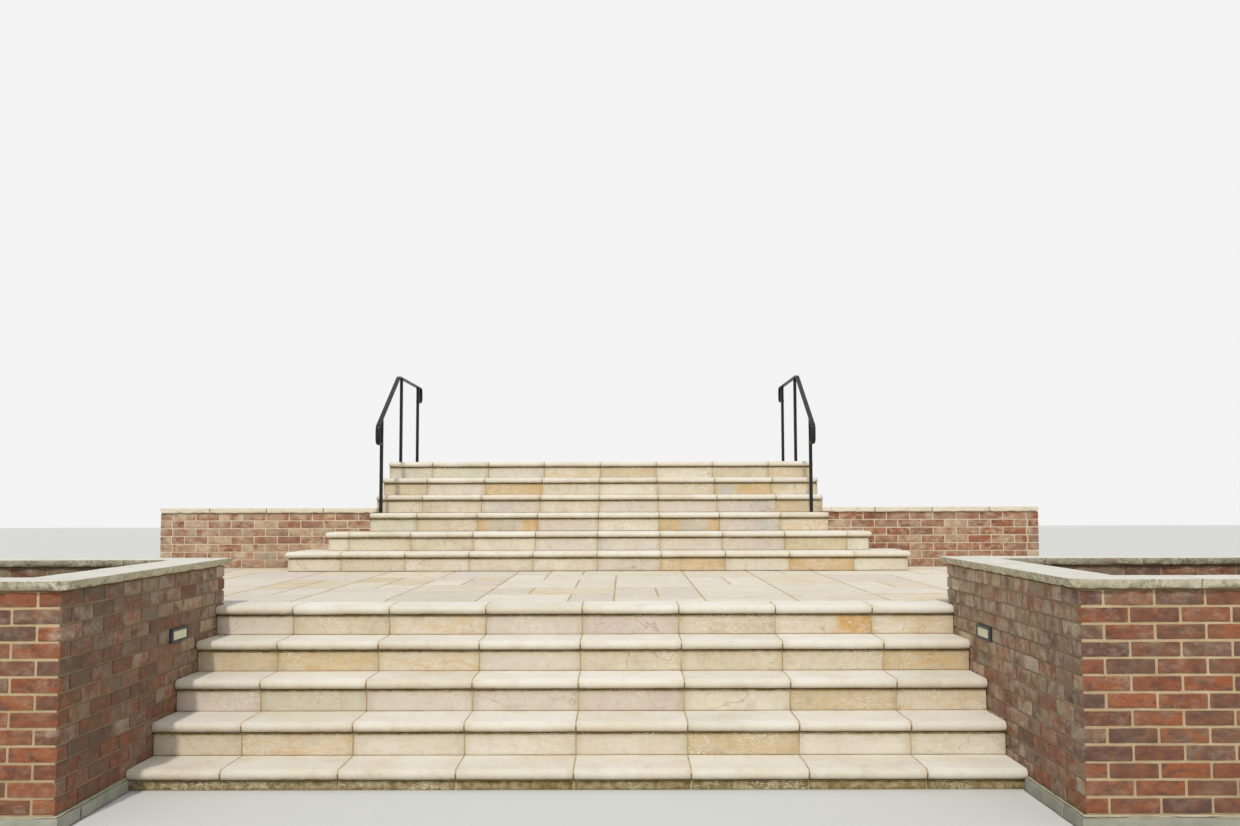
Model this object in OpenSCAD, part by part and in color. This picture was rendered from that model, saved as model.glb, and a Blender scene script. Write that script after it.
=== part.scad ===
/* [Steps] */
// Height of every riser, tread top to tread top
rise = 175; // [150:1:190]
// Top of the bottom tread above the ground
first_top = 105; // [90:1:170]
// Face of one riser to the next in the lower flight
lower_going = 320; // [280:5:380]
// Face of one riser to the next in the upper flight
upper_going = 310; // [280:5:380]
// How far a tread's rounded edge stands out over its riser
nosing = 30; // [15:1:40]
// Thickness of a tread stone, which is also the diameter of its rounded edge
tread_t = 54; // [40:2:70]
// Thickness of the facing stone on a riser
riser_t = 30; // [20:1:50]
// Width of the lower flight, wall to wall
flight_w = 4490; // [3600:10:5600]
// Width of the upper flight above its two wrapped steps
upper_w = 4430; // [3600:10:5600]
// How far the second upper step runs out past the upper flight at each end
wrap_out = 355; // [300:5:420]
// Going of the wrapped steps at their ends
wrap_going = 290; // [260:5:360]

/* [Landings] */
// Face of the top lower riser to the face of the first upper riser
landing_d = 3650; // [2400:10:5000]
// Face of the last riser to the building behind the top landing
top_landing_d = 2150; // [1200:10:3000]
// Front to back of the rounded stones that edge a landing
edge_d = 330; // [280:5:400]
// Thickness of the paving with its bed
paving_t = 40; // [30:1:50]

/* [Planters] */
// Width of a planter across the steps, outer face to outer face
planter_w = 2000; // [1200:10:2600]
// How far the planters stand out in front of the bottom riser
planter_front = 770; // [400:10:1200]
// How far the planters run back past the top lower riser
planter_back = 130; // [60:5:250]
// Brick courses in a planter wall
planter_courses = 13; // [11:1:16]
// Height of one brick course with its joint
course = 75; // [70:1:80]
// Thickness of the one-brick walls
wall_t = 215; // [200:1:230]
// Thickness of the half-brick facing beside the upper flight
flank_t = 103; // [95:1:115]
// Height of the concrete footing that shows under the brickwork
footing_h = 65; // [30:1:90]
// How far the footing stands out from the brickwork
footing_out = 25; // [10:1:38]

/* [Coping] */
// Thickness of the planter coping stones
coping_t = 52; // [40:1:75]
// How far the planter coping hangs over each face of its wall
coping_out = 40; // [30:1:60]
// Thickness of the coping on the low walls
low_coping_t = 50; // [40:1:75]
// How far the low coping hangs over each face of its wall
low_coping_out = 30; // [15:1:45]
// How far the low coping laps onto the end of the third upper tread
low_coping_lap = 60; // [30:1:90]
// How far a coping's split edge falls back from top to bottom
coping_pitch = 10; // [2:1:18]
// How far each corner of a planter coping is cut off along both of its edges
coping_clip = 60; // [10:5:90]

/* [Wall lights] */
// Length of a light's face along the wall
light_l = 245; // [200:1:260]
// Height of a light's face
light_h = 75; // [60:1:90]
// Depth of a light's body in the wall
light_d = 80; // [50:1:110]
// How far a light's face stands out of the wall
light_proud = 12; // [3:1:20]
// Width of the metal rim at each end of a light's lens
light_end_rim = 22; // [12:1:30]
// Width of the metal rim over and under a light's lens
light_rim = 11; // [6:1:16]
// Depth of the lens in its frame
lens_d = 12; // [8:1:20]
// How far the lens lies behind the rim
lens_back = 3; // [1:1:5]
// Front face of the planter to the middle of its light
light_from_front = 1420; // [800:10:1800]
// Brick course that the light takes, counted down from the coping
light_course = 5; // [3:1:6]

/* [Handrails] */
// Top of the rail above the top landing
rail_h = 910; // [850:5:1000]
// Width of the rail's flat bar
rail_w = 45; // [35:1:55]
// Thickness of the rail's flat bar
rail_t = 18; // [14:1:24]
// Side of a square post
post_s = 30; // [20:1:40]
// Gap between the left rail's posts and the end of the low coping
left_post_gap = 5; // [5:1:150]
// Gap between the right rail's posts and the end of the low coping
right_post_gap = 70; // [5:1:150]
// Face of the third upper riser to the middle of the front post
front_post_back = 110; // [60:5:200]
// Face of the last riser to the middle of the second post
mid_post_back = 200; // [100:5:300]
// Middle of the second post to the middle of the rear post
rear_post_gap = 1020; // [700:10:1400]
// Face of the last riser to the bend between sloping and level rail
bend_back = 40; // [0:5:80]
// How far the rail runs past its end posts before it turns down
rail_past = 190; // [150:5:240]
// How far the rail's ends drop before they return to the posts
rail_drop = 165; // [140:5:220]
// Radius of the rail's end bends, on its middle line
end_r = 55; // [40:1:65]
// Radius of the bend between sloping and level rail
slope_r = 180; // [100:10:300]

/* [Hidden] */
$fn = 96;

left = -1;
right = 1;
// The lower flight has five risers, the fifth under the landing's edge, and the upper has six
lower_rises = 5;
upper_rises = 6;
// The third upper step is the first that doesn't wrap: the low walls line up with its riser
straight_step = 3;

// Heights
landing_z = lower_z(lower_rises);
top_z = upper_z(upper_rises);
core_z = landing_z - paving_t;
wall_top = footing_h + planter_courses * course;
low_top = upper_z(straight_step);

// Half widths
flight_x = flight_w / 2;
upper_x = upper_w / 2;
terrace_x = flight_x + planter_w;

// Places along the steps, from the face of the bottom riser
landing_front = lower_y(lower_rises);
landing_back = upper_y(1);
edge_back = landing_front - nosing + edge_d;
top_edge_back = upper_y(upper_rises) - nosing + edge_d;
planter_face = -planter_front;
planter_end = landing_front + planter_back;
low_face = upper_y(straight_step);
low_back = low_face + wall_t;
back = upper_y(upper_rises) + top_landing_d;
front = planter_face - max(coping_out, footing_out);

// The back of each light's lens, in from the face of its wall
lens_bed = lens_back + lens_d - light_proud;

// Colours
stone = "Wheat";
facing = "BurlyWood";
paving = "Tan";
core = "Silver";
brick = "IndianRed";
coping = "Beige";
concrete = "DarkGray";
metal = "DimGray";
black = "Black";

function lower_y(step) = (step - 1) * lower_going;
function lower_z(step) = first_top + (step - 1) * rise;
function upper_y(step) = lower_y(lower_rises) + landing_d + (step - 1) * upper_going;
function upper_z(step) = landing_z + step * rise;
// Half width of an upper tread: the steps below the straight ones run out past the flight
function upper_half(step) =
    step >= straight_step ? upper_x : upper_x + wrap_out + (straight_step - 1 - step) * wrap_going;

// The whole part stands with the middle of its plan on the origin
module placed() {
    translate([0, -(front + back) / 2, 0]) children();
}

// Section of a tread: y runs back from the rounded edge, z up from its underside
module nosed_section(depth) {
    radius = tread_t / 2;
    union() {
        translate([radius, radius]) circle(radius);
        translate([radius, 0]) square([depth - radius, tread_t]);
    }
}

// Draws a section of y and z as a bar along x, centred on the steps
module bar_across(half) {
    translate([-half, 0, 0]) rotate([90, 0, 90]) linear_extrude(2 * half) children();
}

// A straight tread between its two ends
module straight_tread(half, y, top, depth) {
    color(stone) placed() translate([0, y - nosing, top - tread_t])
        bar_across(half) nosed_section(depth);
}

// Rounded end of a wrapped tread: the edge turns the corner and runs back to the low wall
module tread_return(half, width, length) {
    radius = tread_t / 2;
    translate([half, 0, 0]) {
        translate([0, length, 0]) rotate([90, 0, 0]) linear_extrude(length - radius)
            mirror([1, 0]) nosed_section(width);
        translate([-radius, radius, radius]) rotate([0, 0, -90]) rotate_extrude(angle = 90)
            intersection() {
                circle(radius);
                translate([0, -radius]) square([radius, tread_t]);
            }
    }
}

// A wrapped tread: a front bar with a return at each end, open in the middle over the core
module wrapped_tread(step) {
    radius = tread_t / 2;
    half = upper_half(step);
    above = upper_half(step + 1);
    inner = step + 1 < straight_step ? above - nosing - riser_t : above;
    length = low_face - upper_y(step) + nosing;
    width = half - inner;
    color(stone) placed() translate([0, upper_y(step) - nosing, upper_z(step) - tread_t]) {
        bar_across(half - radius) nosed_section(min(length, upper_going + nosing + riser_t));
        if (step + 1 == straight_step)
            translate([-above, length, 0]) cube([2 * above, riser_t, tread_t]);
        tread_return(half, width, length);
        mirror([1, 0, 0]) tread_return(half, width, length);
    }
}

// One riser's facing stone, standing on what is below it and holding up the tread above
module facing_bar(half, y, low, top) {
    translate([-half, y, low]) cube([2 * half, riser_t, top - tread_t - low]);
}

module lower_risers() {
    color(facing) placed() for (step = [1 : lower_rises])
        facing_bar(flight_x, lower_y(step), step == 1 ? 0 : lower_z(step - 1), lower_z(step));
}

// The facing under a wrapped tread: it turns the corner at each end and runs back to the low wall
module wrapped_riser(step) {
    low = step == 1 ? core_z : upper_z(step - 1);
    height = upper_z(step) - tread_t - low;
    half = upper_half(step) - nosing;
    length = low_face - upper_y(step);
    color(facing) placed() union() {
        facing_bar(half, upper_y(step), low, upper_z(step));
        for (side = [left, right])
            translate([side * (half - riser_t / 2), upper_y(step) + length / 2, low + height / 2])
                cube([riser_t, length, height], center = true);
    }
}

module upper_risers() {
    color(facing) placed() for (step = [straight_step : upper_rises])
        facing_bar(upper_x, upper_y(step), upper_z(step - 1), upper_z(step));
}

module lower_tread(step) {
    straight_tread(flight_x, lower_y(step), lower_z(step), nosing + lower_going + riser_t);
}

module landing_edge() {
    straight_tread(flight_x, landing_front, landing_z, edge_d);
}

module upper_tread(step) {
    if (step < straight_step) wrapped_tread(step);
    else straight_tread(upper_x, upper_y(step), upper_z(step), nosing + upper_going + riser_t);
}

module top_landing_edge() {
    straight_tread(upper_x, upper_y(upper_rises), top_z, edge_d);
}

// Stepped mass of masonry under the lower flight
module lower_core() {
    steps = [for (step = [1 : lower_rises]) each [
        [lower_y(step) + riser_t, lower_z(step) - tread_t],
        [step == lower_rises ? edge_back : lower_y(step + 1) + riser_t, lower_z(step) - tread_t]
    ]];
    color(core) placed() bar_across(flight_x)
        polygon(concat([[riser_t, 0]], steps, [[edge_back, 0]]));
}

// Plan of the terrace in front of the low walls, fitted round the planters and the edge stones
module terrace_plan(rear) {
    polygon(concat(
        [[-terrace_x, planter_end], [-flight_x, planter_end], [-flight_x, edge_back]],
        [[flight_x, edge_back], [flight_x, planter_end], [terrace_x, planter_end]],
        [[terrace_x, rear], [-terrace_x, rear]]
    ));
}

module landing_core() {
    color(core) placed() linear_extrude(core_z) terrace_plan(low_back);
}

module landing_paving() {
    foot = upper_half(1) - nosing;
    color(paving) placed() translate([0, 0, core_z]) linear_extrude(paving_t) difference() {
        terrace_plan(low_face);
        translate([-foot, landing_back]) square([2 * foot, low_face - landing_back]);
    }
}

// Side view of the mass under the upper flight, with its own foot behind the terrace
module upper_profile() {
    steps = [for (step = [1 : upper_rises]) each [
        [upper_y(step) + riser_t, upper_z(step) - tread_t],
        [step == upper_rises ? top_edge_back : upper_y(step + 1) + riser_t,
            upper_z(step) - tread_t]
    ]];
    polygon(concat(
        [[low_back, 0], [low_back, core_z], [landing_back + riser_t, core_z]],
        steps,
        [[top_edge_back, top_z - paving_t], [back, top_z - paving_t], [back, 0]]
    ));
}

module upper_core() {
    color(core) placed() {
        bar_across(upper_x - flank_t) upper_profile();
        for (step = [1 : straight_step - 1]) {
            half = upper_half(step) - nosing - riser_t;
            rear = upper_y(step) + riser_t;
            translate([-half, rear, core_z])
                cube([2 * half, low_face - rear, upper_z(step) - tread_t - core_z]);
        }
    }
}

module top_landing_paving() {
    color(paving) placed() translate([-upper_x, top_edge_back, top_z - paving_t])
        cube([upper_w, back - top_edge_back, paving_t]);
}

// Brick facing at one end of the upper flight, cut to the steps
module flank_wall(side) {
    color(brick) placed() translate([side * (upper_x - flank_t / 2), 0, 0])
        bar_across(flank_t / 2) intersection() {
            upper_profile();
            translate([low_face, 0]) square([back - low_face, top_z]);
        }
}

module low_wall(side) {
    length = terrace_x - upper_x;
    color(brick) placed() translate([side * (upper_x + length / 2), 0, 0])
        bar_across(length / 2) translate([low_face, core_z]) square([wall_t, low_top - core_z]);
}

// Section of a coping whose split edges fall back towards the underside
module coping_section(width, thickness) {
    polygon([
        [coping_pitch, 0], [0, thickness], [width, thickness], [width - coping_pitch, 0]
    ]);
}

module low_coping(side) {
    start = upper_x - low_coping_lap;
    length = terrace_x - start;
    color(coping) placed() translate([side * (start + length / 2), low_face - low_coping_out, low_top])
        bar_across(length / 2) coping_section(wall_t + 2 * low_coping_out, low_coping_t);
}

// Draws what follows with the planter's steps side at x = 0 and its middle to the right
module at_planter(side) {
    placed() mirror([side == left ? 1 : 0, 0, 0]) translate([flight_x, 0, 0]) children();
}

// Box in the planter's own plan, from one corner to the other
module planter_block(x0, y0, x1, y1, low, top) {
    translate([x0, y0, low]) cube([x1 - x0, y1 - y0, top - low]);
}

module planter_inner_wall(side) {
    color(brick) at_planter(side) difference() {
        planter_block(0, planter_face, wall_t, planter_end, footing_h, wall_top);
        light_block(-light_proud, light_d);
    }
}

module planter_front_wall(side) {
    color(brick) at_planter(side)
        planter_block(wall_t, planter_face, planter_w, planter_face + wall_t, footing_h, wall_top);
}

module planter_outer_wall(side) {
    color(brick) at_planter(side) planter_block(planter_w - wall_t, planter_face + wall_t,
        planter_w, planter_end, footing_h, wall_top);
}

module planter_back_wall(side) {
    color(brick) at_planter(side) planter_block(wall_t, planter_end - wall_t,
        planter_w - wall_t, planter_end, footing_h, wall_top);
}

// One side of the coping ring, with mitred ends and its share of the cut corners
module coping_side(length) {
    width = wall_t + 2 * coping_out;
    half_clip = coping_clip / 2;
    intersection() {
        rotate([90, 0, 90]) linear_extrude(length) coping_section(width, coping_t);
        linear_extrude(coping_t) polygon([
            [coping_clip, 0], [length - coping_clip, 0], [length - half_clip, half_clip],
            [length - width, width], [width, width], [half_clip, half_clip]
        ]);
    }
}

module planter_coping(side) {
    across = planter_w + 2 * coping_out;
    along = planter_end - planter_face + 2 * coping_out;
    color(coping) at_planter(side)
        translate([planter_w / 2, (planter_face + planter_end) / 2, wall_top])
            for (turn = [0, 90, 180, 270]) rotate([0, 0, turn]) {
                reach = turn % 180 == 0 ? along : across;
                length = turn % 180 == 0 ? across : along;
                translate([-length / 2, -reach / 2, 0]) coping_side(length);
            }
}

// Concrete strip under the planter walls, a little proud where no other piece meets it
module planter_footing(side) {
    color(concrete) at_planter(side) linear_extrude(footing_h) difference() {
        union() {
            translate([0, planter_face - footing_out])
                square([planter_w + footing_out, planter_end - planter_face + footing_out]);
            translate([-footing_out, planter_face - footing_out])
                square([footing_out, planter_front + footing_out - nosing]);
        }
        translate([wall_t, planter_face + wall_t])
            square([planter_w - 2 * wall_t, planter_end - planter_face - 2 * wall_t]);
    }
}

// Block at the light's place: out of the wall to into the wall, drawn in by the rims
module light_block(out, into, end_rim = 0, rim = 0) {
    middle = planter_face + light_from_front;
    centre_z = wall_top - (light_course - 0.5) * course;
    planter_block(out, middle - light_l / 2 + end_rim, into, middle + light_l / 2 - end_rim,
        centre_z - light_h / 2 + rim, centre_z + light_h / 2 - rim);
}

module light_frame(side) {
    color(metal) at_planter(side) difference() {
        light_block(-light_proud, light_d);
        light_block(-light_proud - 1, lens_bed, light_end_rim, light_rim);
    }
}

module light_lens(side) {
    color("LightYellow") at_planter(side)
        light_block(lens_back - light_proud, lens_bed, light_end_rim, light_rim);
}

// The middle of each rail, out from the middle of the steps
function rail_x(side) = side * (upper_x - low_coping_lap - post_s / 2
    - (side == left ? left_post_gap : right_post_gap));

// Middle line of the rail in y and z, corner by corner from its front end to its rear end
rail_z = top_z + rail_h - rail_t / 2;
bend_y = upper_y(upper_rises) + bend_back;
front_post_y = upper_y(straight_step) + front_post_back;
mid_post_y = upper_y(upper_rises) + mid_post_back;
rear_post_y = mid_post_y + rear_post_gap;
slope = atan(rise / upper_going);
front_end_y = front_post_y - rail_past;
rear_end_y = rear_post_y + rail_past;
front_end_z = slope_z(front_end_y);
rail_line = [
    [front_post_y - post_s / 2, front_end_z - rail_drop],
    [front_end_y, front_end_z - rail_drop],
    [front_end_y, front_end_z],
    [bend_y, rail_z],
    [rear_end_y, rail_z],
    [rear_end_y, rail_z - rail_drop],
    [rear_post_y + post_s / 2, rail_z - rail_drop]
];
rail_radii = [0, end_r, end_r, slope_r, end_r, end_r, 0];
// Largest turn between two cross-sections of a bend
bend_step = 10;

// Height of the sloping rail's middle line
function slope_z(y) = rail_z - (bend_y - y) * tan(slope);
function towards(a, b) = (b - a) / norm(b - a);
function spin(v, angle) = [v[0] * cos(angle) - v[1] * sin(angle), v[0] * sin(angle) + v[1] * cos(angle)];
function corner_half(i) =
    acos(towards(rail_line[i], rail_line[i - 1]) * towards(rail_line[i], rail_line[i + 1])) / 2;

// Points round one bend, each with the rail's direction there
function bend(i) = let (
    arriving = towards(rail_line[i - 1], rail_line[i]),
    leaving = towards(rail_line[i], rail_line[i + 1]),
    half = corner_half(i),
    centre = rail_line[i] + towards(arriving, leaving) * rail_radii[i] / sin(half),
    from_centre = rail_line[i] - arriving * rail_radii[i] / tan(half) - centre,
    turn = sign(cross(arriving, leaving)) * (180 - 2 * half),
    pieces = ceil(abs(turn) / bend_step)
) [for (k = [0 : pieces]) [centre + spin(from_centre, turn * k / pieces), spin(arriving, turn * k / pieces)]];

rail_last = len(rail_line) - 1;
rail_path = concat(
    [[rail_line[0], towards(rail_line[0], rail_line[1])]],
    [for (i = [1 : rail_last - 1]) each bend(i)],
    [[rail_line[rail_last], towards(rail_line[rail_last - 1], rail_line[rail_last])]]
);

// Section of the rail, x across it and y up: well rounded on top, eased below
crown_r = rail_t / 2;
ease_r = rail_t / 5;
edge_pieces = 4;
rail_outline = [for (corner = [0 : 3]) let (
        round_r = corner < 2 ? crown_r : ease_r,
        x = (corner == 0 || corner == 3 ? 1 : -1) * (rail_w / 2 - round_r),
        y = (corner < 2 ? 1 : -1) * (rail_t / 2 - round_r)
    ) for (k = [0 : edge_pieces]) let (angle = 90 * (corner + k / edge_pieces))
        [x, y] + round_r * [cos(angle), sin(angle)]];

// One bar swept along its bends, flat side down, or inwards where it turns down
module handrail(side) {
    sides = len(rail_outline);
    rings = len(rail_path);
    points = [for (at = rail_path) for (p = rail_outline)
        let (up = spin(at[1], 90)) [p[0], at[0][0] + up[0] * p[1], at[0][1] + up[1] * p[1]]];
    skin = [for (ring = [0 : rings - 2]) for (k = [0 : sides - 1]) let (next = (k + 1) % sides)
        [ring * sides + k, (ring + 1) * sides + k, (ring + 1) * sides + next, ring * sides + next]];
    first_end = [for (k = [0 : sides - 1]) k];
    last_end = [for (k = [sides - 1 : -1 : 0]) (rings - 1) * sides + k];
    color(black) placed() translate([rail_x(side), 0, 0])
        polyhedron(points, concat(skin, [first_end, last_end]));
}

// A square post from the stone up to the underside of the rail, cut to the rail's slope
module post(y, low, top_front, top_rear) {
    bar_across(post_s / 2) polygon([
        [y - post_s / 2, low], [y + post_s / 2, low],
        [y + post_s / 2, top_rear], [y - post_s / 2, top_front]
    ]);
}

module handrail_posts(side) {
    under = rail_t / 2 / cos(slope);
    color(black) placed() translate([rail_x(side), 0, 0]) {
        post(front_post_y, upper_z(straight_step),
            slope_z(front_post_y - post_s / 2) - under, slope_z(front_post_y + post_s / 2) - under);
        post(mid_post_y, top_z, rail_z - rail_t / 2, rail_z - rail_t / 2);
        post(rear_post_y, top_z, rail_z - rail_t / 2, rail_z - rail_t / 2);
    }
}

lower_core();
lower_risers();
lower_tread(1);  // lower_tread_1
lower_tread(2);  // lower_tread_2
lower_tread(3);  // lower_tread_3
lower_tread(4);  // lower_tread_4
landing_edge();
landing_core();
landing_paving();
upper_core();
wrapped_riser(1);  // upper_riser_1
wrapped_riser(2);  // upper_riser_2
upper_risers();
upper_tread(1);  // upper_tread_1
upper_tread(2);  // upper_tread_2
upper_tread(3);  // upper_tread_3
upper_tread(4);  // upper_tread_4
upper_tread(5);  // upper_tread_5
top_landing_edge();
top_landing_paving();
flank_wall(left);  // left_flank_wall
flank_wall(right);  // right_flank_wall
low_wall(left);  // left_low_wall
low_wall(right);  // right_low_wall
low_coping(left);  // left_low_coping
low_coping(right);  // right_low_coping
planter_inner_wall(left);  // left_planter_inner_wall
planter_front_wall(left);  // left_planter_front_wall
planter_outer_wall(left);  // left_planter_outer_wall
planter_back_wall(left);  // left_planter_back_wall
planter_coping(left);  // left_planter_coping
planter_footing(left);  // left_planter_footing
planter_inner_wall(right);  // right_planter_inner_wall
planter_front_wall(right);  // right_planter_front_wall
planter_outer_wall(right);  // right_planter_outer_wall
planter_back_wall(right);  // right_planter_back_wall
planter_coping(right);  // right_planter_coping
planter_footing(right);  // right_planter_footing
light_frame(left);  // left_light_frame
light_lens(left);  // left_light_lens
light_frame(right);  // right_light_frame
light_lens(right);  // right_light_lens
handrail(left);  // left_handrail
handrail_posts(left);  // left_handrail_posts
handrail(right);  // right_handrail
handrail_posts(right);  // right_handrail_posts
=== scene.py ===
"""Outdoor stone steps, dressed round their solid model. Everything is in metres.

+Y runs up the steps, +X is to the right as one climbs, and the ground is at z = 0.
"""

import functools
import math
import typing

import bpy
import numpy as np
from mathutils import Matrix, Vector


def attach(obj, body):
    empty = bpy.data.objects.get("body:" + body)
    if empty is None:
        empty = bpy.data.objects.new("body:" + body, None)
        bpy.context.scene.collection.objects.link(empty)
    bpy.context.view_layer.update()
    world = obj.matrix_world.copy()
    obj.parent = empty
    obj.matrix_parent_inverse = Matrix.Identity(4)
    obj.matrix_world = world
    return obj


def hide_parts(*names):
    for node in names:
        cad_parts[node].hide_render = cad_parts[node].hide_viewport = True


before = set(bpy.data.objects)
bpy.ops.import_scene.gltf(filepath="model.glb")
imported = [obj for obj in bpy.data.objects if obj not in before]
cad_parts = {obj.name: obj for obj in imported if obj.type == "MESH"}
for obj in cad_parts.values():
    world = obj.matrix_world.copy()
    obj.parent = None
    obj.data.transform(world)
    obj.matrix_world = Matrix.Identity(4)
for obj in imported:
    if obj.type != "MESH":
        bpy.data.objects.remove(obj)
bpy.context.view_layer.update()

# Blockwork
# The mass under both landings is concrete and packed rubble behind grey concrete blocks, 440 by
# 215 mm, laid with open mortar joints. The blocks show at the lower landing's ends, behind the low
# walls and at the very back.

RISE = 0.175
FIRST_TOP = 0.105
FRONT_Y = -3.910
LOWER_GOING = 0.320
UPPER_GOING = 0.310
TREAD_T = 0.054
RISER_T = 0.030
NOSING = 0.030
PAVING_T = 0.040
WALL_T = 0.215
FLANK_T = 0.103
LANDING_D = 3.650
TOP_LANDING_D = 2.150
FLIGHT_X = 4.490 / 2
UPPER_X = 4.430 / 2
# How far the second upper step wraps out past the flight's sides, and the first one past the second
WRAP_OUT = 0.355
WRAP_GOING = 0.290
# How wide each planter is, and how far it stands in front of the bottom riser and behind the fifth
PLANTER_W = 2.000
PLANTER_FRONT = 0.770
PLANTER_BACK = 0.130
MORTAR_GAP = 0.010
MORTAR_DEPTH = 0.006
UNCUT = 9.0
SIDES = {"left": -1, "right": 1}


def lower_y(step):
    return FRONT_Y + LOWER_GOING * (step - 1)


def lower_z(step):
    return FIRST_TOP + RISE * (step - 1)


def upper_y(step):
    return lower_y(5) + LANDING_D + UPPER_GOING * (step - 1)


def upper_z(step):
    return LANDING_Z + RISE * step


LANDING_Z = lower_z(5)
CORE_Z = LANDING_Z - PAVING_T
TOP_Z = upper_z(6)
TERRACE_X = FLIGHT_X + PLANTER_W
PLANTER_FACE = FRONT_Y - PLANTER_FRONT
PLANTER_END = lower_y(5) + PLANTER_BACK
LOW_FACE = upper_y(3)
LOW_BACK = LOW_FACE + WALL_T
BACK = upper_y(6) + TOP_LANDING_D
WRAP_HALF = {1: UPPER_X + WRAP_OUT + WRAP_GOING, 2: UPPER_X + WRAP_OUT}


def ripple(points, size, seed):
    """Smooth random heights from -1 to 1, with hills about size across."""
    cell = points / size
    low = np.floor(cell).astype(np.int64)
    share = cell - low
    share = share * share * (3 - 2 * share)
    total = np.zeros(len(points))
    # The large odd numbers only scramble the cell's corner into a height that looks random
    for corner in range(8):
        bits = np.array([corner & 1, corner >> 1 & 1, corner >> 2 & 1])
        at = low + bits
        mixed_up = at[:, 0] * 73856093 ^ at[:, 1] * 19349663 ^ at[:, 2] * 83492791 ^ seed * 2654435761
        mixed_up = (mixed_up & 0xFFFFFFFF) * 1274126177 & 0xFFFFFFFF
        mixed_up = (mixed_up ^ mixed_up >> 15) * 2246822519 & 0xFFFFFFFF
        height = (mixed_up ^ mixed_up >> 13) & 0xFFFF
        total += np.prod(np.where(bits, share, 1 - share), axis=1) * (height / 32767.5 - 1)
    return total


@functools.lru_cache(None)
def box_skin(nx, ny, nz):
    """Whole-number points and quads of a box's skin, cut into that many cells along each side."""
    i, j, k = np.indices((nx + 1, ny + 1, nz + 1))
    on_skin = (i % nx == 0) | (j % ny == 0) | (k % nz == 0)
    index = np.full(on_skin.shape, -1)
    index[on_skin] = np.arange(on_skin.sum())
    quads = []
    for axis, cells in enumerate((nx, ny, nz)):
        for end, turned in ((0, axis != 1), (cells, axis == 1)):
            sheet = np.moveaxis(index, axis, 0)[end]
            around = [sheet[:-1, :-1], sheet[1:, :-1], sheet[1:, 1:], sheet[:-1, 1:]]
            if turned:
                around.reverse()
            quads.append(np.stack([a.ravel() for a in around], 1))
    return np.stack([i[on_skin], j[on_skin], k[on_skin]], 1), np.concatenate(quads)


def block(corner, opposite, ease, pitch):
    """A box with eased edges: its points, its quads and which way each point faces.

    It is cut into cells about as long as pitch, and left in one where pitch is UNCUT.
    """
    low = np.minimum(corner, opposite)
    high = np.maximum(corner, opposite)
    cuts = []
    for a, b, p in zip(low, high, np.broadcast_to(pitch, 3)):
        cells = max(1, round((b - a - 2 * ease) / p))
        cuts.append(np.concatenate([[a], np.linspace(a + ease, b - ease, cells + 1), [b]]))
    steps, quads = box_skin(*(len(c) - 1 for c in cuts))
    points = np.stack([c[s] for c, s in zip(cuts, steps.T)], 1)
    inside = np.clip(points, low + ease, high - ease)
    facing = points - inside
    facing /= np.linalg.norm(facing, axis=1, keepdims=True)
    return inside + facing * ease, quads, facing


def weathered(stone, seed, coarse, fine):
    """The same stone with its surface gently uneven: coarse hills and fine grain, never outwards."""
    points, quads, facing = stone
    hills = coarse * (ripple(points, 0.09, seed) - 1) + fine * (ripple(points, 0.018, seed + 1) - 1)
    return points + facing * (hills / 2)[:, None], quads, facing


class Heap:
    """The stones of one piece as laid, each with its finish, look, grime and painted shade, and rust."""

    def __init__(self):
        self.points, self.faces, self.finish, self.look, self.count = [], [], [], [], 0
        self.grime, self.rust = [], []

    def lay(self, stone, finish=0, look=(0.5, 0, 0, 0), grime=0.0, rust=0.0):
        points, faces = stone[0], stone[1]
        self.points.append(points)
        self.faces += [[v + self.count for v in face] for face in np.array(faces, object).tolist()]
        self.finish += [finish] * len(faces)
        self.look += look if isinstance(look, list) else [look] * len(faces)
        self.grime.append(np.broadcast_to(grime, len(points)))
        self.rust.append(np.broadcast_to(rust, len(points)))
        self.count += len(points)

    def build(self, name, finishes, slot, *nodes, smooth_under=40):
        mesh = bpy.data.meshes.new(name)
        mesh.from_pydata(np.concatenate(self.points).tolist(), [], self.faces)
        for finish in finishes:
            mesh.materials.append(finish)
        mesh.polygons.foreach_set("material_index", self.finish)
        look = mesh.attributes.new("look", "FLOAT_COLOR", "FACE")
        look.data.foreach_set("color", np.array(self.look, np.float32).ravel())
        for name_of, values in (("grime", self.grime), ("rust", self.rust)):
            worn = mesh.attributes.new(name_of, "FLOAT", "POINT")
            worn.data.foreach_set("value", np.concatenate(values).astype(np.float32))
        mesh.shade_smooth()
        mesh.set_sharp_from_angle(angle=math.radians(smooth_under))
        piece = bpy.data.objects.new(name, mesh)
        bpy.context.scene.collection.objects.link(piece)
        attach(piece, "root")
        if nodes:
            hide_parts(*nodes)
        return piece


def new_finish(name, roughness):
    """A material with its surface shader, ready to be mixed."""
    material = bpy.data.materials.new(name)
    material.use_nodes = True
    tree = material.node_tree
    surface = tree.nodes["Principled BSDF"]
    surface.inputs["Roughness"].default_value = roughness
    return material, tree, surface


def add(tree, kind, settings=None, **sockets):
    """A node whose sockets are given as numbers, colours or other nodes' outputs."""
    node = tree.nodes.new("ShaderNode" + kind)
    for key, value in (settings or {}).items():
        setattr(node, key, value)
    for key, value in sockets.items():
        socket = node.inputs[int(key[1:])] if key[1:].isdigit() else node.inputs[key.replace("_", " ")]
        if isinstance(value, bpy.types.NodeSocket):
            tree.links.new(value, socket)
        else:
            socket.default_value = value
    return node


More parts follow.
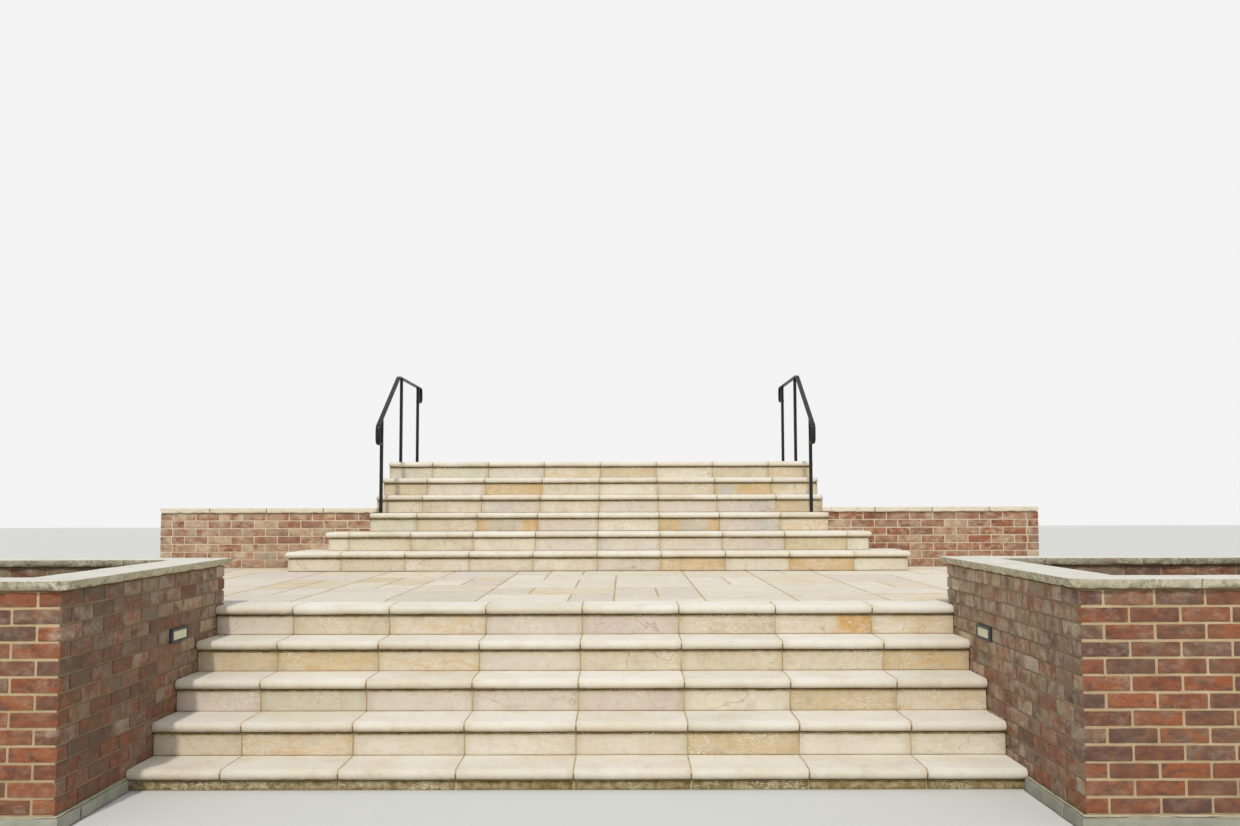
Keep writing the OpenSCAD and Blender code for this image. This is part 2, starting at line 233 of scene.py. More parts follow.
def mixed(tree, share, first, second, mode="MIX"):
    """Two colours mixed by a share from 0 to 1."""
    first, second = (c if isinstance(c, bpy.types.NodeSocket) else (*c, 1) for c in (first, second))
    node = add(tree, "Mix", {"data_type": "RGBA", "blend_type": mode}, _0=share, _6=first, _7=second)
    return node.outputs[2]


def ranged(tree, value, low, high, to_low=0.0, to_high=1.0):
    """A value stretched from one range to another and held within it."""
    node = add(tree, "MapRange", None, _0=value, _1=low, _2=high, _3=to_low, _4=to_high)
    return node.outputs[0]


def times(tree, first, second, operation="MULTIPLY"):
    return add(tree, "Math", {"operation": operation}, _0=first, _1=second).outputs[0]


def mottle(tree, place, scale, detail=3.0, roughness=0.55, distortion=0.0):
    """Cloudy patches from 0 to 1 at that many to the metre."""
    node = add(tree, "TexNoise", None, Vector=place, Scale=scale, Detail=detail,
               Roughness=roughness, Distortion=distortion)
    return node.outputs[0]


def stretched(tree, place, x, y, z):
    return add(tree, "Mapping", None, Vector=place, Scale=(x, y, z)).outputs[0]


def own_place(tree, reach=50.0):
    """Each stone's own patch of texture, so that no two are cut alike, and its look."""
    place = add(tree, "TexCoord").outputs["Object"]
    look = add(tree, "Attribute", {"attribute_name": "look"})
    parts = add(tree, "SeparateColor", None, Color=look.outputs["Color"])
    shift = times(tree, look.outputs["Alpha"], reach)
    moved = add(tree, "VectorMath", {"operation": "ADD"}, _0=place, _1=shift).outputs[0]
    return place, moved, parts.outputs


def marked_by(tree, what):
    return add(tree, "Attribute", {"attribute_name": what}).outputs["Fac"]


def upward(tree):
    """1 on level tops, 0 on upright faces and undersides."""
    normal = add(tree, "NewGeometry").outputs["True Normal"]
    return ranged(tree, add(tree, "SeparateXYZ", None, Vector=normal).outputs[2], 0.5, 0.95)


def bumped(tree, surface, height, depth, under=None):
    """Fine relief too small for the mesh, depth in metres."""
    node = add(tree, "Bump", None, Strength=1.0, Distance=depth, Height=height)
    if under is not None:
        tree.links.new(under, node.inputs["Normal"])
    tree.links.new(node.outputs[0], surface.inputs["Normal"])
    return node.outputs[0]


def concrete_finish(name, pale, dark):
    material, tree, surface = new_finish(name, 0.92)
    _, own, look = own_place(tree)
    cloud = mottle(tree, own, 7.0, 5.0)
    colour = mixed(tree, ranged(tree, cloud, 0.3, 0.7), dark, pale)
    grit = mottle(tree, own, 160.0, 2.0)
    colour = mixed(tree, ranged(tree, grit, 0.35, 0.7, 0.0, 0.35), colour, dark)
    colour = mixed(tree, ranged(tree, look[0], 0, 1, 0.0, 0.3), colour, pale)
    tree.links.new(colour, surface.inputs["Base Color"])
    pits = add(tree, "TexVoronoi", None, Vector=own, Scale=90.0)
    holes = ranged(tree, pits.outputs[0], 0.0, 0.35)
    under = bumped(tree, surface, grit, 0.0012)
    bumped(tree, surface, holes, 0.0015, under)
    return material


block_concrete = concrete_finish("block concrete", (0.46, 0.45, 0.42), (0.28, 0.27, 0.25))
bed_mortar = concrete_finish("grey bed mortar", (0.40, 0.38, 0.34), (0.25, 0.24, 0.21))

BLOCK_L = 0.440
BLOCK_H = 0.215
BLOCK_D = 0.1
SHORTEST = 0.02
CORE_IN = 0.006
dice = np.random.default_rng(11)


def laid_length(start, end, full, first=None, gap=MORTAR_GAP):
    """Where the stones of one course begin and end, in either direction.

    A last stone under 60 mm isn't laid: the one before grows over it, or both are cut alike.
    """
    way = 1 if end > start else -1
    left, at, size, cuts = abs(end - start), 0.0, first or full, []
    while left - at > SHORTEST:
        stop = at + size
        if left - stop < 0.06:
            stop = left if left - at < full * 1.12 else at + (left - at - gap) / 2
        stop = min(stop, left)
        cuts.append((start + way * at, start + way * stop))
        at, size = stop + gap, full
    return cuts


def block_wall(heap, face, outward, along, low, high):
    """Blocks on a plane: face is the plane's place, outward 'x' or 'y' with its sign, along the range."""
    axis, sign = outward
    course = 0
    z = low
    while z < high - SHORTEST:
        top = min(z + BLOCK_H, high)
        first = BLOCK_L / 2 if course % 2 else BLOCK_L
        for a, b in laid_length(*along, BLOCK_L, first):
            inner = face - sign * BLOCK_D
            ends = ((face, a, z), (inner, b, top)) if axis == "x" else ((a, face, z), (b, inner, top))
            look = (dice.random(), 0, 0, dice.random())
            stone = weathered(block(*ends, 0.004, 0.2), int(dice.integers(999)), 0.001, 0.0012)
            heap.lay(stone, 0, look)
        z = top + MORTAR_GAP
        course += 1


def mass(heap, corner, opposite):
    """The plain concrete and rubble behind the blocks."""
    heap.lay(block(corner, opposite, 0.001, UNCUT), 1)


terrace = Heap()
inner_x = UPPER_X - FLANK_T
mass_front = PLANTER_END + 0.17
mass(terrace, (-TERRACE_X + CORE_IN, mass_front, 0), (TERRACE_X - CORE_IN, LOW_BACK - CORE_IN, CORE_Z))
for sign in SIDES.values():
    mass(terrace, (sign * FLIGHT_X, PLANTER_END, 0), (sign * (TERRACE_X - CORE_IN), mass_front, CORE_Z))
    block_wall(terrace, sign * TERRACE_X, ("x", sign), (LOW_BACK, PLANTER_END), 0.0, CORE_Z)
    behind = (sign * inner_x, sign * (TERRACE_X - BLOCK_D - MORTAR_GAP))
    block_wall(terrace, LOW_BACK, ("y", 1), behind, 0.0, CORE_Z)
terrace.build("terrace_blockwork", [block_concrete, bed_mortar], "masonry_core", "landing_core")

flight = Heap()
for step in range(1, 7):
    wrapped = step in WRAP_HALF
    half = WRAP_HALF[step] - NOSING - RISER_T if wrapped else inner_x
    front = upper_y(step) + RISER_T
    rear = upper_y(step + 1) + RISER_T if step < 6 else BACK - CORE_IN
    mass(flight, (-half, front if wrapped else max(front, LOW_BACK), CORE_Z if wrapped else 0.0),
         (half, rear, upper_z(step) - TREAD_T))
block_wall(flight, BACK, ("y", 1), (-inner_x, inner_x), 0.0, TOP_Z - PAVING_T)
flight.build("upper_flight_blockwork", [block_concrete, bed_mortar], "masonry_core", "upper_core")
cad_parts["lower_core"].data.materials.clear()
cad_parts["lower_core"].data.materials.append(bed_mortar)

# Footings
# Each planter stands on a strip of rough grey concrete, cast in the ground, that shows a hand's
# breadth high and stands a little proud of the bricks. Crumbly pale mortar lies along its top edge.

FOOTING_H = 0.065
FOOTING_OUT = 0.025
HAUNCH_OUT = 0.013
HAUNCH_IN = 0.020
PLANTER_L = PLANTER_END - PLANTER_FACE
TO_STEPS = PLANTER_FRONT - NOSING

footing_concrete = concrete_finish("rough footing concrete", (0.42, 0.41, 0.34), (0.24, 0.24, 0.19))
haunch_mortar = concrete_finish("crumbly pale mortar", (0.58, 0.53, 0.38), (0.38, 0.34, 0.23))


def at_planter(sign, s, t, z):
    """A point by its distance s out from the steps, its distance t back from the front, and its height."""
    return (sign * (FLIGHT_X + s), PLANTER_FACE + t, z)


def planter_block(sign, low, high, ease, pitch):
    return block(at_planter(sign, *low), at_planter(sign, *high), ease, pitch)


def rough(stone, seed, depth):
    """A cast or broken surface: uneven by depth, always inwards."""
    points, quads, facing = stone
    uneven = (ripple(points, 0.10, seed) + ripple(points, 0.035, seed + 1) * 0.7
              + ripple(points, 0.012, seed + 2) * 0.4 - 2.1) / 4.2
    return points + facing * (uneven * depth)[:, None], quads, facing


for side, sign in SIDES.items():
    footing = Heap()
    strips = [
        ((-FOOTING_OUT, -FOOTING_OUT, 0), (PLANTER_W + FOOTING_OUT, WALL_T, FOOTING_H)),
        ((0, WALL_T, 0), (WALL_T, PLANTER_L, FOOTING_H)),
        ((-FOOTING_OUT, WALL_T, 0), (0, TO_STEPS, FOOTING_H)),
        ((PLANTER_W - WALL_T, WALL_T, 0), (PLANTER_W + FOOTING_OUT, PLANTER_L, FOOTING_H)),
        ((WALL_T, PLANTER_L - WALL_T, 0), (PLANTER_W - WALL_T, PLANTER_L, FOOTING_H)),
    ]
    for n, (low, high) in enumerate(strips):
        strip = planter_block(sign, low, high, 0.006, (0.035, 0.035, 0.020))
        footing.lay(rough(strip, 40 + n, 0.011), 0, (0.4, 0, 0, 0.1 * n))
    haunches = [
        ((-HAUNCH_OUT, -HAUNCH_OUT), (PLANTER_W + HAUNCH_OUT, HAUNCH_IN)),
        ((-HAUNCH_OUT, 0), (HAUNCH_IN, TO_STEPS + 0.002)),
        ((PLANTER_W - HAUNCH_IN, 0), (PLANTER_W + HAUNCH_OUT, PLANTER_L)),
    ]
    for n, (low, high) in enumerate(haunches):
        low, high = (*low, FOOTING_H - 0.012), (*high, FOOTING_H + 0.009)
        strip = planter_block(sign, low, high, 0.004, (0.025, 0.025, 0.008))
        footing.lay(rough(strip, 60 + n, 0.015), 1, (0.6, 0, 0, 0.3))
    footing.build(f"{side}_footing_concrete", [footing_concrete, haunch_mortar], "concrete",
                  f"{side}_planter_footing")

# Brickwork
# The planters, the low walls and the sides of the upper flight are weathered red stock bricks,
# 215 by 65 mm with 10 mm joints, in stretcher bond with the corners toothed into each other. The
# joints are buff lime mortar, rubbed back a little. Damp has left pale salts and grey-blue patches.

COURSE = 0.075
BRICK_L = 0.215
THIN_GAP = 0.007
LONG_BRICK = BRICK_L + MORTAR_GAP - THIN_GAP
BRICK_D = 0.1025
TURN = BRICK_D + MORTAR_GAP
COURSES = 13
WALL_TOP = FOOTING_H + COURSES * COURSE
LOW_COURSES = 7
LOW_TOP = LANDING_Z + LOW_COURSES * COURSE
CORNER_R = 0.007
LIGHT_AT = 1.420
LIGHT_L = 0.245
LIGHT_COURSE = 5
LIGHT_GAP = 0.008


def brick_finish():
    material, tree, surface = new_finish("weathered red brick", 0.9)
    place, own, look = own_place(tree)
    tone, film, pale = look[0], look[1], look[2]
    ramp = add(tree, "ValToRGB", None, _0=tone)
    shades = {0.0: (0.318, 0.092, 0.031), 0.35: (0.240, 0.070, 0.028), 0.65: (0.165, 0.062, 0.034),
              0.85: (0.100, 0.057, 0.044), 1.0: (0.200, 0.112, 0.068)}
    stops = ramp.color_ramp.elements
    for position, shade in shades.items():
        stop = {0.0: stops[0], 1.0: stops[-1]}.get(position) or stops.new(position)
        stop.color = (*shade, 1)
    cloud = mottle(tree, own, 14.0, 4.0)
    colour = mixed(tree, ranged(tree, cloud, 0.40, 0.75, 0.0, 0.5), ramp.outputs[0], (0.350, 0.130, 0.055))
    streak = mottle(tree, stretched(tree, own, 1, 1, 2), 13.0, 4.0, 0.6, 0.5)
    colour = mixed(tree, ranged(tree, streak, 0.46, 0.66, 0.0, 0.85), colour, (0.105, 0.050, 0.036))
    fleck = mottle(tree, own, 120.0, 3.0, 0.7)
    colour = mixed(tree, ranged(tree, fleck, 0.52, 0.74, 0.0, 0.6), colour, (0.085, 0.040, 0.026))
    weather = mixed(tree, pale, (0.136, 0.092, 0.052), (0.650, 0.528, 0.372))
    patchy = ranged(tree, mottle(tree, own, 8.0, 4.0, 0.6, 0.3), 0.38, 0.60, 0.22, 1.45)
    colour = mixed(tree, times(tree, film, patchy), colour, weather)
    blue = times(tree, film, ranged(tree, mottle(tree, own, 8.0, 3.0, 0.6, 0.4), 0.56, 0.68, 0.0, 0.6))
    colour = mixed(tree, blue, colour, (0.150, 0.135, 0.120))
    salts = times(tree, ranged(tree, mottle(tree, place, 1.6, 3.0), 0.38, 0.62, 0.35, 1.0),
                  ranged(tree, mottle(tree, stretched(tree, own, 1, 1, 1.7), 15.0, 6.0, 0.72), 0.47, 0.66))
    salts = times(tree, salts, ranged(tree, pale, 0, 1, 0.16, 0.85))
    colour = mixed(tree, salts, colour, (0.61, 0.51, 0.365))
    rims = times(tree, marked_by(tree, "grime"), ranged(tree, mottle(tree, own, 30.0, 3.0), 0.35, 0.6))
    colour = mixed(tree, times(tree, rims, 0.6), colour, (0.40, 0.190, 0.110))
    tree.links.new(colour, surface.inputs["Base Color"])
    under = bumped(tree, surface, mottle(tree, own, 260.0, 3.0, 0.7), 0.0011)
    bumped(tree, surface, mottle(tree, own, 55.0, 3.0, 0.6, 0.6), 0.003, under)
    return material


def mortar_finish():
    material, tree, surface = new_finish("buff lime mortar", 0.95)
    place, _, look = own_place(tree)
    sand = mottle(tree, place, 220.0, 3.0, 0.7)
    colour = mixed(tree, ranged(tree, mottle(tree, place, 7.0, 5.0), 0.32, 0.68),
                   (0.42, 0.300, 0.155), (0.60, 0.445, 0.260))
    colour = mixed(tree, look[2], colour, (0.70, 0.600, 0.450))
    colour = mixed(tree, look[1], colour, (0.150, 0.115, 0.066))
    colour = mixed(tree, ranged(tree, sand, 0.4, 0.7, 0, 0.4), colour, (0.25, 0.185, 0.105))
    tree.links.new(colour, surface.inputs["Base Color"])
    bumped(tree, surface, sand, 0.0016)
    return material


brick_red = brick_finish()
lime_mortar = mortar_finish()


class Weather(typing.NamedTuple):
    """One face's weather, each from 0 for none to 1 for much.

    It says how thick the film of dirt is, how pale it is, how dark and how pale the joints are, how
    unequal the bricks are, how much painted light pales the film along the wall, and how dark the bricks run.
    On the inner walls the film's thickness and paleness also hold painted shade and painted light.
    """

    film: float
    film_pale: float
    joint_dark: float
    joint_pale: float
    unequal: float = 0.15
    painted_light_along: float = 0.0
    brick_dark: float = 1.0


# Inner walls: the left's darker film is painted shade; the right's paler film, and the paling along both, is
# painted light.
WEATHER = {
    "front": Weather(0.10, 0.12, 0.0, 0.1),
    "left inner": Weather(0.56, 0.05, 0.60, 0.0, 0.10, 0.27, 0.9),
    "right inner": Weather(0.48, 0.42, 0.55, 0.05, 0.10, 0.42, 0.9),
    "outer": Weather(0.45, 0.35, 0.35, 0.1),
    "back": Weather(0.55, 0.25, 0.5, 0.0),
    "left low": Weather(0.42, 0.85, 0.0, 0.95, 0.13, 0.0, 0.45),
    "right low": Weather(0.25, 0.76, 0.0, 0.95, 0.13, 0.0, 0.38),
    "flank": Weather(0.5, 0.3, 0.4, 0.1),
}


def lay_brick(heap, corner, opposite, weather, fine=False, ends=None, along=0.0):
    """One brick: a little out of true, its corners and edges worn, with its own colour.

    A brick that turns a corner of the wall shows an end too, with that face's weather. How far along the
    wall it lies, from 0 to 1, makes its film paler: painted light towards an inner wall's far end.
    """
    seed = int(dice.integers(9999))
    wobble = dice.normal(0, 0.0007, 3) * (0, 0, 1)
    size = np.abs(np.subtract(opposite, corner))
    run = 0 if size[0] > size[1] else 1
    pitch = [0.030, 0.030, 0.020] if fine else [0.110, 0.110, 0.050]
    if not ends:
        pitch[1 - run] = UNCUT
    points, quads, facing = block(np.add(corner, wobble), np.add(opposite, wobble), 0.0045, pitch)
    low, high = points.min(0), points.max(0)
    face = points[:, [run, 2]]
    inside = np.clip(face, low[[run, 2]] + CORNER_R, high[[run, 2]] - CORNER_R)
    reach = np.linalg.norm(face - inside, axis=1)
    held = np.minimum(1, CORNER_R / np.maximum(reach, 1e-9))
    points[:, [run, 2]] = inside + (face - inside) * held[:, None]
    ragged = 0.0013 * (ripple(points, 0.045, seed + 5) - 0.4) * (1 - np.abs(facing[:, 1 - run]))
    if ends:
        ragged *= np.abs(facing[:, 2])
    points += facing * ragged[:, None]
    worn = weathered((points, quads, facing), seed, 0.0022, 0.0022 if fine else 0.0014)[0] - points
    worn[:, [run, 2]] *= 0.3
    points += worn
    edge = (np.abs(facing).max(1) < 0.99).astype(float)
    tone = dice.beta(1.1, 1.2) * weather.brick_dark
    luck = dice.normal(0, weather.unequal)
    # Painted light pales the film towards an inner wall's far end.
    shade = dice.normal(0, 0.16) + weather.painted_light_along * along
    patch = dice.random()

    def seen_in(face_weather):
        return (tone, float(np.clip(face_weather.film + luck, 0, 1)),
                float(np.clip(face_weather.film_pale + shade, 0, 1)), patch)

    looks = [seen_in(weather)] * len(quads)
    if ends:
        turned = np.abs(facing[quads][:, :, run].mean(1)) > 0.6
        looks = [seen_in(ends) if t else look for t, look in zip(turned, looks)]
    heap.lay((points, quads), 0, looks, edge * weather.film * (1.0 if fine else 0.5))


def lay_mortar(heap, corner, opposite, weather):
    """The mortar of a stretch of wall, one box that shows as all of its joints."""
    look = (0.5, weather.joint_dark, weather.joint_pale, 0)
    heap.lay(block(corner, opposite, 0.001, UNCUT), 1, look)


def planter_wall(sign, wall, weather, round_corner):
    """The courses of one planter wall, seen from outside and from the bed."""
    heap = Heap()
    along_steps = wall in ("inner", "outer")
    total = PLANTER_L if along_steps else PLANTER_W
    width = PLANTER_W if along_steps else PLANTER_L
    near = wall in ("inner", "front")
    before_light, after_light = LIGHT_AT - LIGHT_L / 2, LIGHT_AT + LIGHT_L / 2

    def spot(run, deep, z):
        across = deep if near else width - deep
        return at_planter(sign, across, run, z) if along_steps else at_planter(sign, run, across, z)

    for n in range(1, COURSES + 1):
        top = WALL_TOP - (n - 1) * COURSE
        low = top - COURSE + MORTAR_GAP
        long_here = (n % 2 == 1) == along_steps
        start, end = (0.0, total) if long_here else (TURN, total - TURN)
        stretcher, gap = (LONG_BRICK, THIN_GAP) if wall == "inner" else (BRICK_L, MORTAR_GAP)
        runs = laid_length(start, end, stretcher, gap=gap)
        here = weather
        if wall == "inner":
            lift = (COURSES / 2 - n) / COURSES
            here = weather._replace(film=weather.film + 0.40 * lift,
                                    film_pale=weather.film_pale + 0.22 * lift)
        if wall == "inner" and n == LIGHT_COURSE:
            runs = (laid_length(0.0, before_light - LIGHT_GAP, stretcher, gap=gap)
                    + laid_length(after_light + LIGHT_GAP, total, stretcher, gap=gap))
        for a, b in runs:
            ends = round_corner if long_here and (a == 0 or b == total) else None
            foot = low if ends else top - COURSE + gap
            lay_brick(heap, spot(a, 0, foot), spot(b, BRICK_D, top), here, near, ends, a / total)
        start, end = (TURN, total - TURN) if long_here else (2 * TURN, total - 2 * TURN)
        for a, b in laid_length(start, end, BRICK_L, BRICK_L / 2 if n % 2 else None):
            lay_brick(heap, spot(a, TURN, low), spot(b, WALL_T, top), WEATHER["back"])
    joint = MORTAR_DEPTH + 0.003 * weather.joint_dark
    start, end = joint + 0.004, total - joint - 0.004
    levels = [(FOOTING_H, WALL_TOP, start, end)]
    if wall == "inner":
        light_low = WALL_TOP - LIGHT_COURSE * COURSE
        light_top = light_low + COURSE
        levels = [(FOOTING_H, light_low, start, end), (light_top, WALL_TOP, start, end),
                  (light_low, light_top, start, before_light), (light_low, light_top, after_light, end)]
    for low, high, a, b in levels:
        lay_mortar(heap, spot(a, joint, low), spot(b, WALL_T - MORTAR_DEPTH, high), weather)
    return heap


for side, sign in SIDES.items():
    for wall in ("inner", "front", "outer", "back"):
        here = WEATHER[f"{side} inner" if wall == "inner" else wall]
        round_corner = WEATHER["front" if wall in ("inner", "outer") else f"{side} inner"]
        planter_wall(sign, wall, here, round_corner).build(
            f"{side}_planter_{wall}_bricks", [brick_red, lime_mortar], "brickwork",
            f"{side}_planter_{wall}_wall")

for side, sign in SIDES.items():
    low_wall = Heap()
    weather = WEATHER[f"{side} low"]
    for n in range(LOW_COURSES):
        low = LANDING_Z + n * COURSE + (THIN_GAP if n else 0.003)
        top = LANDING_Z + (n + 1) * COURSE
        end = TERRACE_X - (TURN if n % 2 else 0)
        first = LONG_BRICK if n % 2 else LONG_BRICK / 2
        for deep in (LOW_FACE, LOW_BACK - BRICK_D):
            for a, b in laid_length(sign * UPPER_X, sign * end, LONG_BRICK, first, THIN_GAP):
                lay_brick(low_wall, (a, deep, low), (b, deep + BRICK_D, top), weather, deep == LOW_FACE)
        if n % 2:
            lay_brick(low_wall, (sign * (TERRACE_X - BRICK_D), LOW_FACE, low),
                      (sign * TERRACE_X, LOW_BACK, top), weather)
    lay_mortar(low_wall, (sign * (UPPER_X + 0.001), LOW_FACE + MORTAR_DEPTH, CORE_Z),
               (sign * (TERRACE_X - MORTAR_DEPTH), LOW_BACK - MORTAR_DEPTH, LOW_TOP), weather)
    low_wall.build(f"{side}_low_wall_bricks", [brick_red, lime_mortar], "brickwork", f"{side}_low_wall")

EDGE_D = 0.330
TOP_EDGE_BACK = upper_y(6) - NOSING + EDGE_D
FLANK_COURSES = math.ceil(TOP_Z / COURSE)
# Each stretch of the flank under one tread: where it begins and ends, and its top
FLANK_SPANS = [(upper_y(k) + RISER_T, upper_y(k + 1) + RISER_T, upper_z(k) - TREAD_T) for k in (3, 4, 5)]
FLANK_SPANS.append((upper_y(6) + RISER_T, TOP_EDGE_BACK, TOP_Z - TREAD_T))
FLANK_SPANS.append((TOP_EDGE_BACK, BACK, TOP_Z - PAVING_T))

for side, sign in SIDES.items():
    flank = Heap()
    outer, inner = sign * UPPER_X, sign * inner_x
    for n in range(FLANK_COURSES):
        low = n * COURSE + MORTAR_GAP
        full = low - MORTAR_GAP + COURSE
        start = min((a for a, _, top in FLANK_SPANS if top >= full), default=None)
        first = BRICK_L if n % 2 else BRICK_L / 2
        runs = [] if start is None else [(BACK, max(start, LOW_BACK), full)]
        runs += [(b, max(a, LOW_BACK), top) for a, b, top in FLANK_SPANS
                 if low + 0.012 < top < full and b > LOW_BACK]
        for a, b, top in runs:
            for c, d in laid_length(a, b, BRICK_L, first if a == BACK else None):
                lay_brick(flank, (outer, c, low), (inner, d, top), WEATHER["flank"])
    mortar_x = outer - sign * MORTAR_DEPTH
    for n, (a, b, top) in enumerate(FLANK_SPANS):
        foot = CORE_Z if n == 0 else 0.0
        lay_mortar(flank, (mortar_x, a, foot), (inner, min(b, BACK - MORTAR_DEPTH), top), WEATHER["flank"])
    under_step = (inner, upper_y(4) + 0.25, CORE_Z + MORTAR_GAP)
    lay_mortar(flank, (mortar_x, LOW_BACK, 0), under_step, WEATHER["flank"])
    flank.build(f"{side}_flank_bricks", [brick_red, lime_mortar], "brickwork", f"{side}_flank_wall")

# Brick lights
# A brick light sits in the wall in place of a brick: a cast aluminium frame, painted dark blue-grey
# and held by two screws, round a frosted pale diffuser that is set back a little from the rim.

LIGHT_H = 0.075
LIGHT_PROUD = 0.012
RIM = 0.011
END_RIM = 0.022
LENS_BACK = 0.003
LIGHT_DEPTH = 0.080


def light_metal_finish():
    material, tree, surface = new_finish("blue-grey cast metal", 0.42)
    place, _, _ = own_place(tree)
    dust = ranged(tree, mottle(tree, place, 60.0, 4.0), 0.4, 0.7)
    tree.links.new(mixed(tree, times(tree, dust, 0.4), (0.036, 0.042, 0.056), (0.13, 0.13, 0.13)),
                   surface.inputs["Base Color"])
    tree.links.new(ranged(tree, dust, 0, 1, 0.36, 0.6), surface.inputs["Roughness"])
    surface.inputs["Metallic"].default_value = 0.2
    bumped(tree, surface, mottle(tree, place, 400.0, 2.0), 0.0003)
    return material


def diffuser_finish():
    material, tree, surface = new_finish("frosted pale diffuser", 0.35)
    place, _, _ = own_place(tree)
    edge = ranged(tree, mottle(tree, place, 25.0, 3.0), 0.35, 0.7)
    tree.links.new(mixed(tree, edge, (0.80, 0.82, 0.55), (0.70, 0.71, 0.46)), surface.inputs["Base Color"])
    surface.inputs["Coat Weight"].default_value = 0.4
    surface.inputs["Coat Roughness"].default_value = 0.15
    ribs = add(tree, "TexWave", {"bands_direction": "Y"}, Vector=place, Scale=95.0)
    bumped(tree, surface, ribs.outputs[1], 0.0004)
    return material


light_metal = light_metal_finish()
diffuser = diffuser_finish()


def disc(centre, normal_sign, radius, height, sides=20):
    """A screw head on a face that looks along x."""
    angles = np.linspace(0, 2 * math.pi, sides, endpoint=False)
    rings = []
    for out, r in ((0, radius), (height * 0.6, radius), (height, radius * 0.75)):
        rings.append(np.stack([np.full(sides, centre[0] + normal_sign * out),
                               centre[1] + r * np.cos(angles), centre[2] + r * np.sin(angles)], 1))
    points = np.concatenate(rings)
    faces = [list(range(2 * sides, 3 * sides)), list(range(sides))[::-1]]
    for ring in range(2):
        for k in range(sides):
            a, b = ring * sides + k, ring * sides + (k + 1) % sides
            faces.append([a, b, b + sides, a + sides])
    if normal_sign < 0:
        faces = [f[::-1] for f in faces]
    return points, faces


for side, sign in SIDES.items():
    light_low = WALL_TOP - LIGHT_COURSE * COURSE
    light_top = light_low + LIGHT_H
    t0, t1 = LIGHT_AT - LIGHT_L / 2, LIGHT_AT + LIGHT_L / 2
    casing = Heap()
    bars = [((-LIGHT_PROUD, t0, light_low), (0.012, t1, light_low + RIM)),
            ((-LIGHT_PROUD, t0, light_top - RIM), (0.012, t1, light_top)),
            ((-LIGHT_PROUD, t0, light_low + RIM), (0.012, t0 + END_RIM, light_top - RIM)),
            ((-LIGHT_PROUD, t1 - END_RIM, light_low + RIM), (0.012, t1, light_top - RIM)),
            ((0.004, t0 + 0.002, light_low + 0.002), (LIGHT_DEPTH, t1 - 0.002, light_top - 0.002))]
    for low, high in bars:
        casing.lay(planter_block(sign, low, high, 0.0018, (0.02, 0.02, 0.02)), 0)
    lip, lip_face = 0.003, -LIGHT_PROUD + 0.0015
    l0, l1, low_lip, high_lip = t0 + END_RIM, t1 - END_RIM, light_low + RIM, light_top - RIM
    for low, high in [((lip_face, l0, low_lip), (0.005, l1, low_lip + lip)),
                      ((lip_face, l0, high_lip - lip), (0.005, l1, high_lip)),
                      ((lip_face, l0, low_lip), (0.005, l0 + lip, high_lip)),
                      ((lip_face, l1 - lip, low_lip), (0.005, l1, high_lip))]:
        casing.lay(planter_block(sign, low, high, 0.0008, (0.02, 0.02, 0.02)), 0)
    for t in (t0 + END_RIM / 2, t1 - END_RIM / 2):
        centre = at_planter(sign, -LIGHT_PROUD, t, light_low + LIGHT_H / 2)
        casing.lay(disc(centre, -sign, 0.0045, 0.0018), 0)
    casing.build(f"{side}_light_casing", [light_metal], "light_metal", f"{side}_light_frame")
    lens = Heap()
    lens.lay(planter_block(sign, (LENS_BACK - LIGHT_PROUD, l0 + lip * 0.6, low_lip + lip * 0.6),
                           (0.0045, l1 - lip * 0.6, high_lip - lip * 0.6), 0.0012, 0.01), 0)
    lens.build(f"{side}_light_diffuser", [diffuser], "light_lens", f"{side}_light_lens")

# Copings
# The walls are capped with pale buff-grey stone about 50 mm thick, in lengths of about 600 mm. The
# tops are riven and the long edges are split by hand, undercut below, and spotted with lichen.

COPING_T = 0.052
COPING_OUT = 0.040
LOW_COPING_T = 0.050
LOW_COPING_OUT = 0.030
LOW_COPING_LAP = 0.060
COPING_PITCH = 0.010
COPING_CLIP = 0.060
POINTING_GAP = 0.0045
SPLIT_REACH = 0.055


def coping_finish():
    material, tree, surface = new_finish("lichened coping stone", 0.9)
    place, own, look = own_place(tree)
    cloud = mottle(tree, own, 6.0, 6.0, 0.65)
    top = upward(tree)
    face = mixed(tree, ranged(tree, cloud, 0.3, 0.7), (0.550, 0.500, 0.340), (0.695, 0.645, 0.495))
    worn = mixed(tree, ranged(tree, cloud, 0.3, 0.7), (0.700, 0.665, 0.580), (0.820, 0.795, 0.735))
    colour = mixed(tree, top, face, worn)
    colour = mixed(tree, look[1], colour, (0.830, 0.765, 0.620))
    side = ranged(tree, top, 0, 1, 1.0, 0.12)
    crevice = ranged(tree, mottle(tree, own, 42.0, 6.0, 0.75, 0.4), 0.42, 0.62)
    patch = ranged(tree, mottle(tree, own, 7.0, 3.0), 0.36, 0.60, 0.35, 1.0)
    old = times(tree, side, ranged(tree, look[1], 0, 1, 0.85, 0.30))
    colour = mixed(tree, times(tree, times(tree, crevice, patch), old), colour, (0.165, 0.140, 0.070))
    lichen = add(tree, "TexVoronoi", None, Vector=own, Scale=34.0, Randomness=1.0)
    spots = times(tree, ranged(tree, lichen.outputs[0], 0.18, 0.30, 1.0, 0.0),
                  ranged(tree, mottle(tree, place, 4.0, 3.0), 0.44, 0.60))
    colour = mixed(tree, times(tree, times(tree, spots, 0.6), old), colour, (0.170, 0.175, 0.110))
    dots = ranged(tree, mottle(tree, own, 150.0, 3.0, 0.7), 0.55, 0.68, 0.0, 0.5)
    colour = mixed(tree, times(tree, dots, old), colour, (0.28, 0.26, 0.17))
    tree.links.new(colour, surface.inputs["Base Color"])
    under = bumped(tree, surface, mottle(tree, own, 180.0, 4.0, 0.7), 0.0016)
    bumped(tree, surface, mottle(tree, own, 28.0, 5.0, 0.6), 0.005, under)
    return material


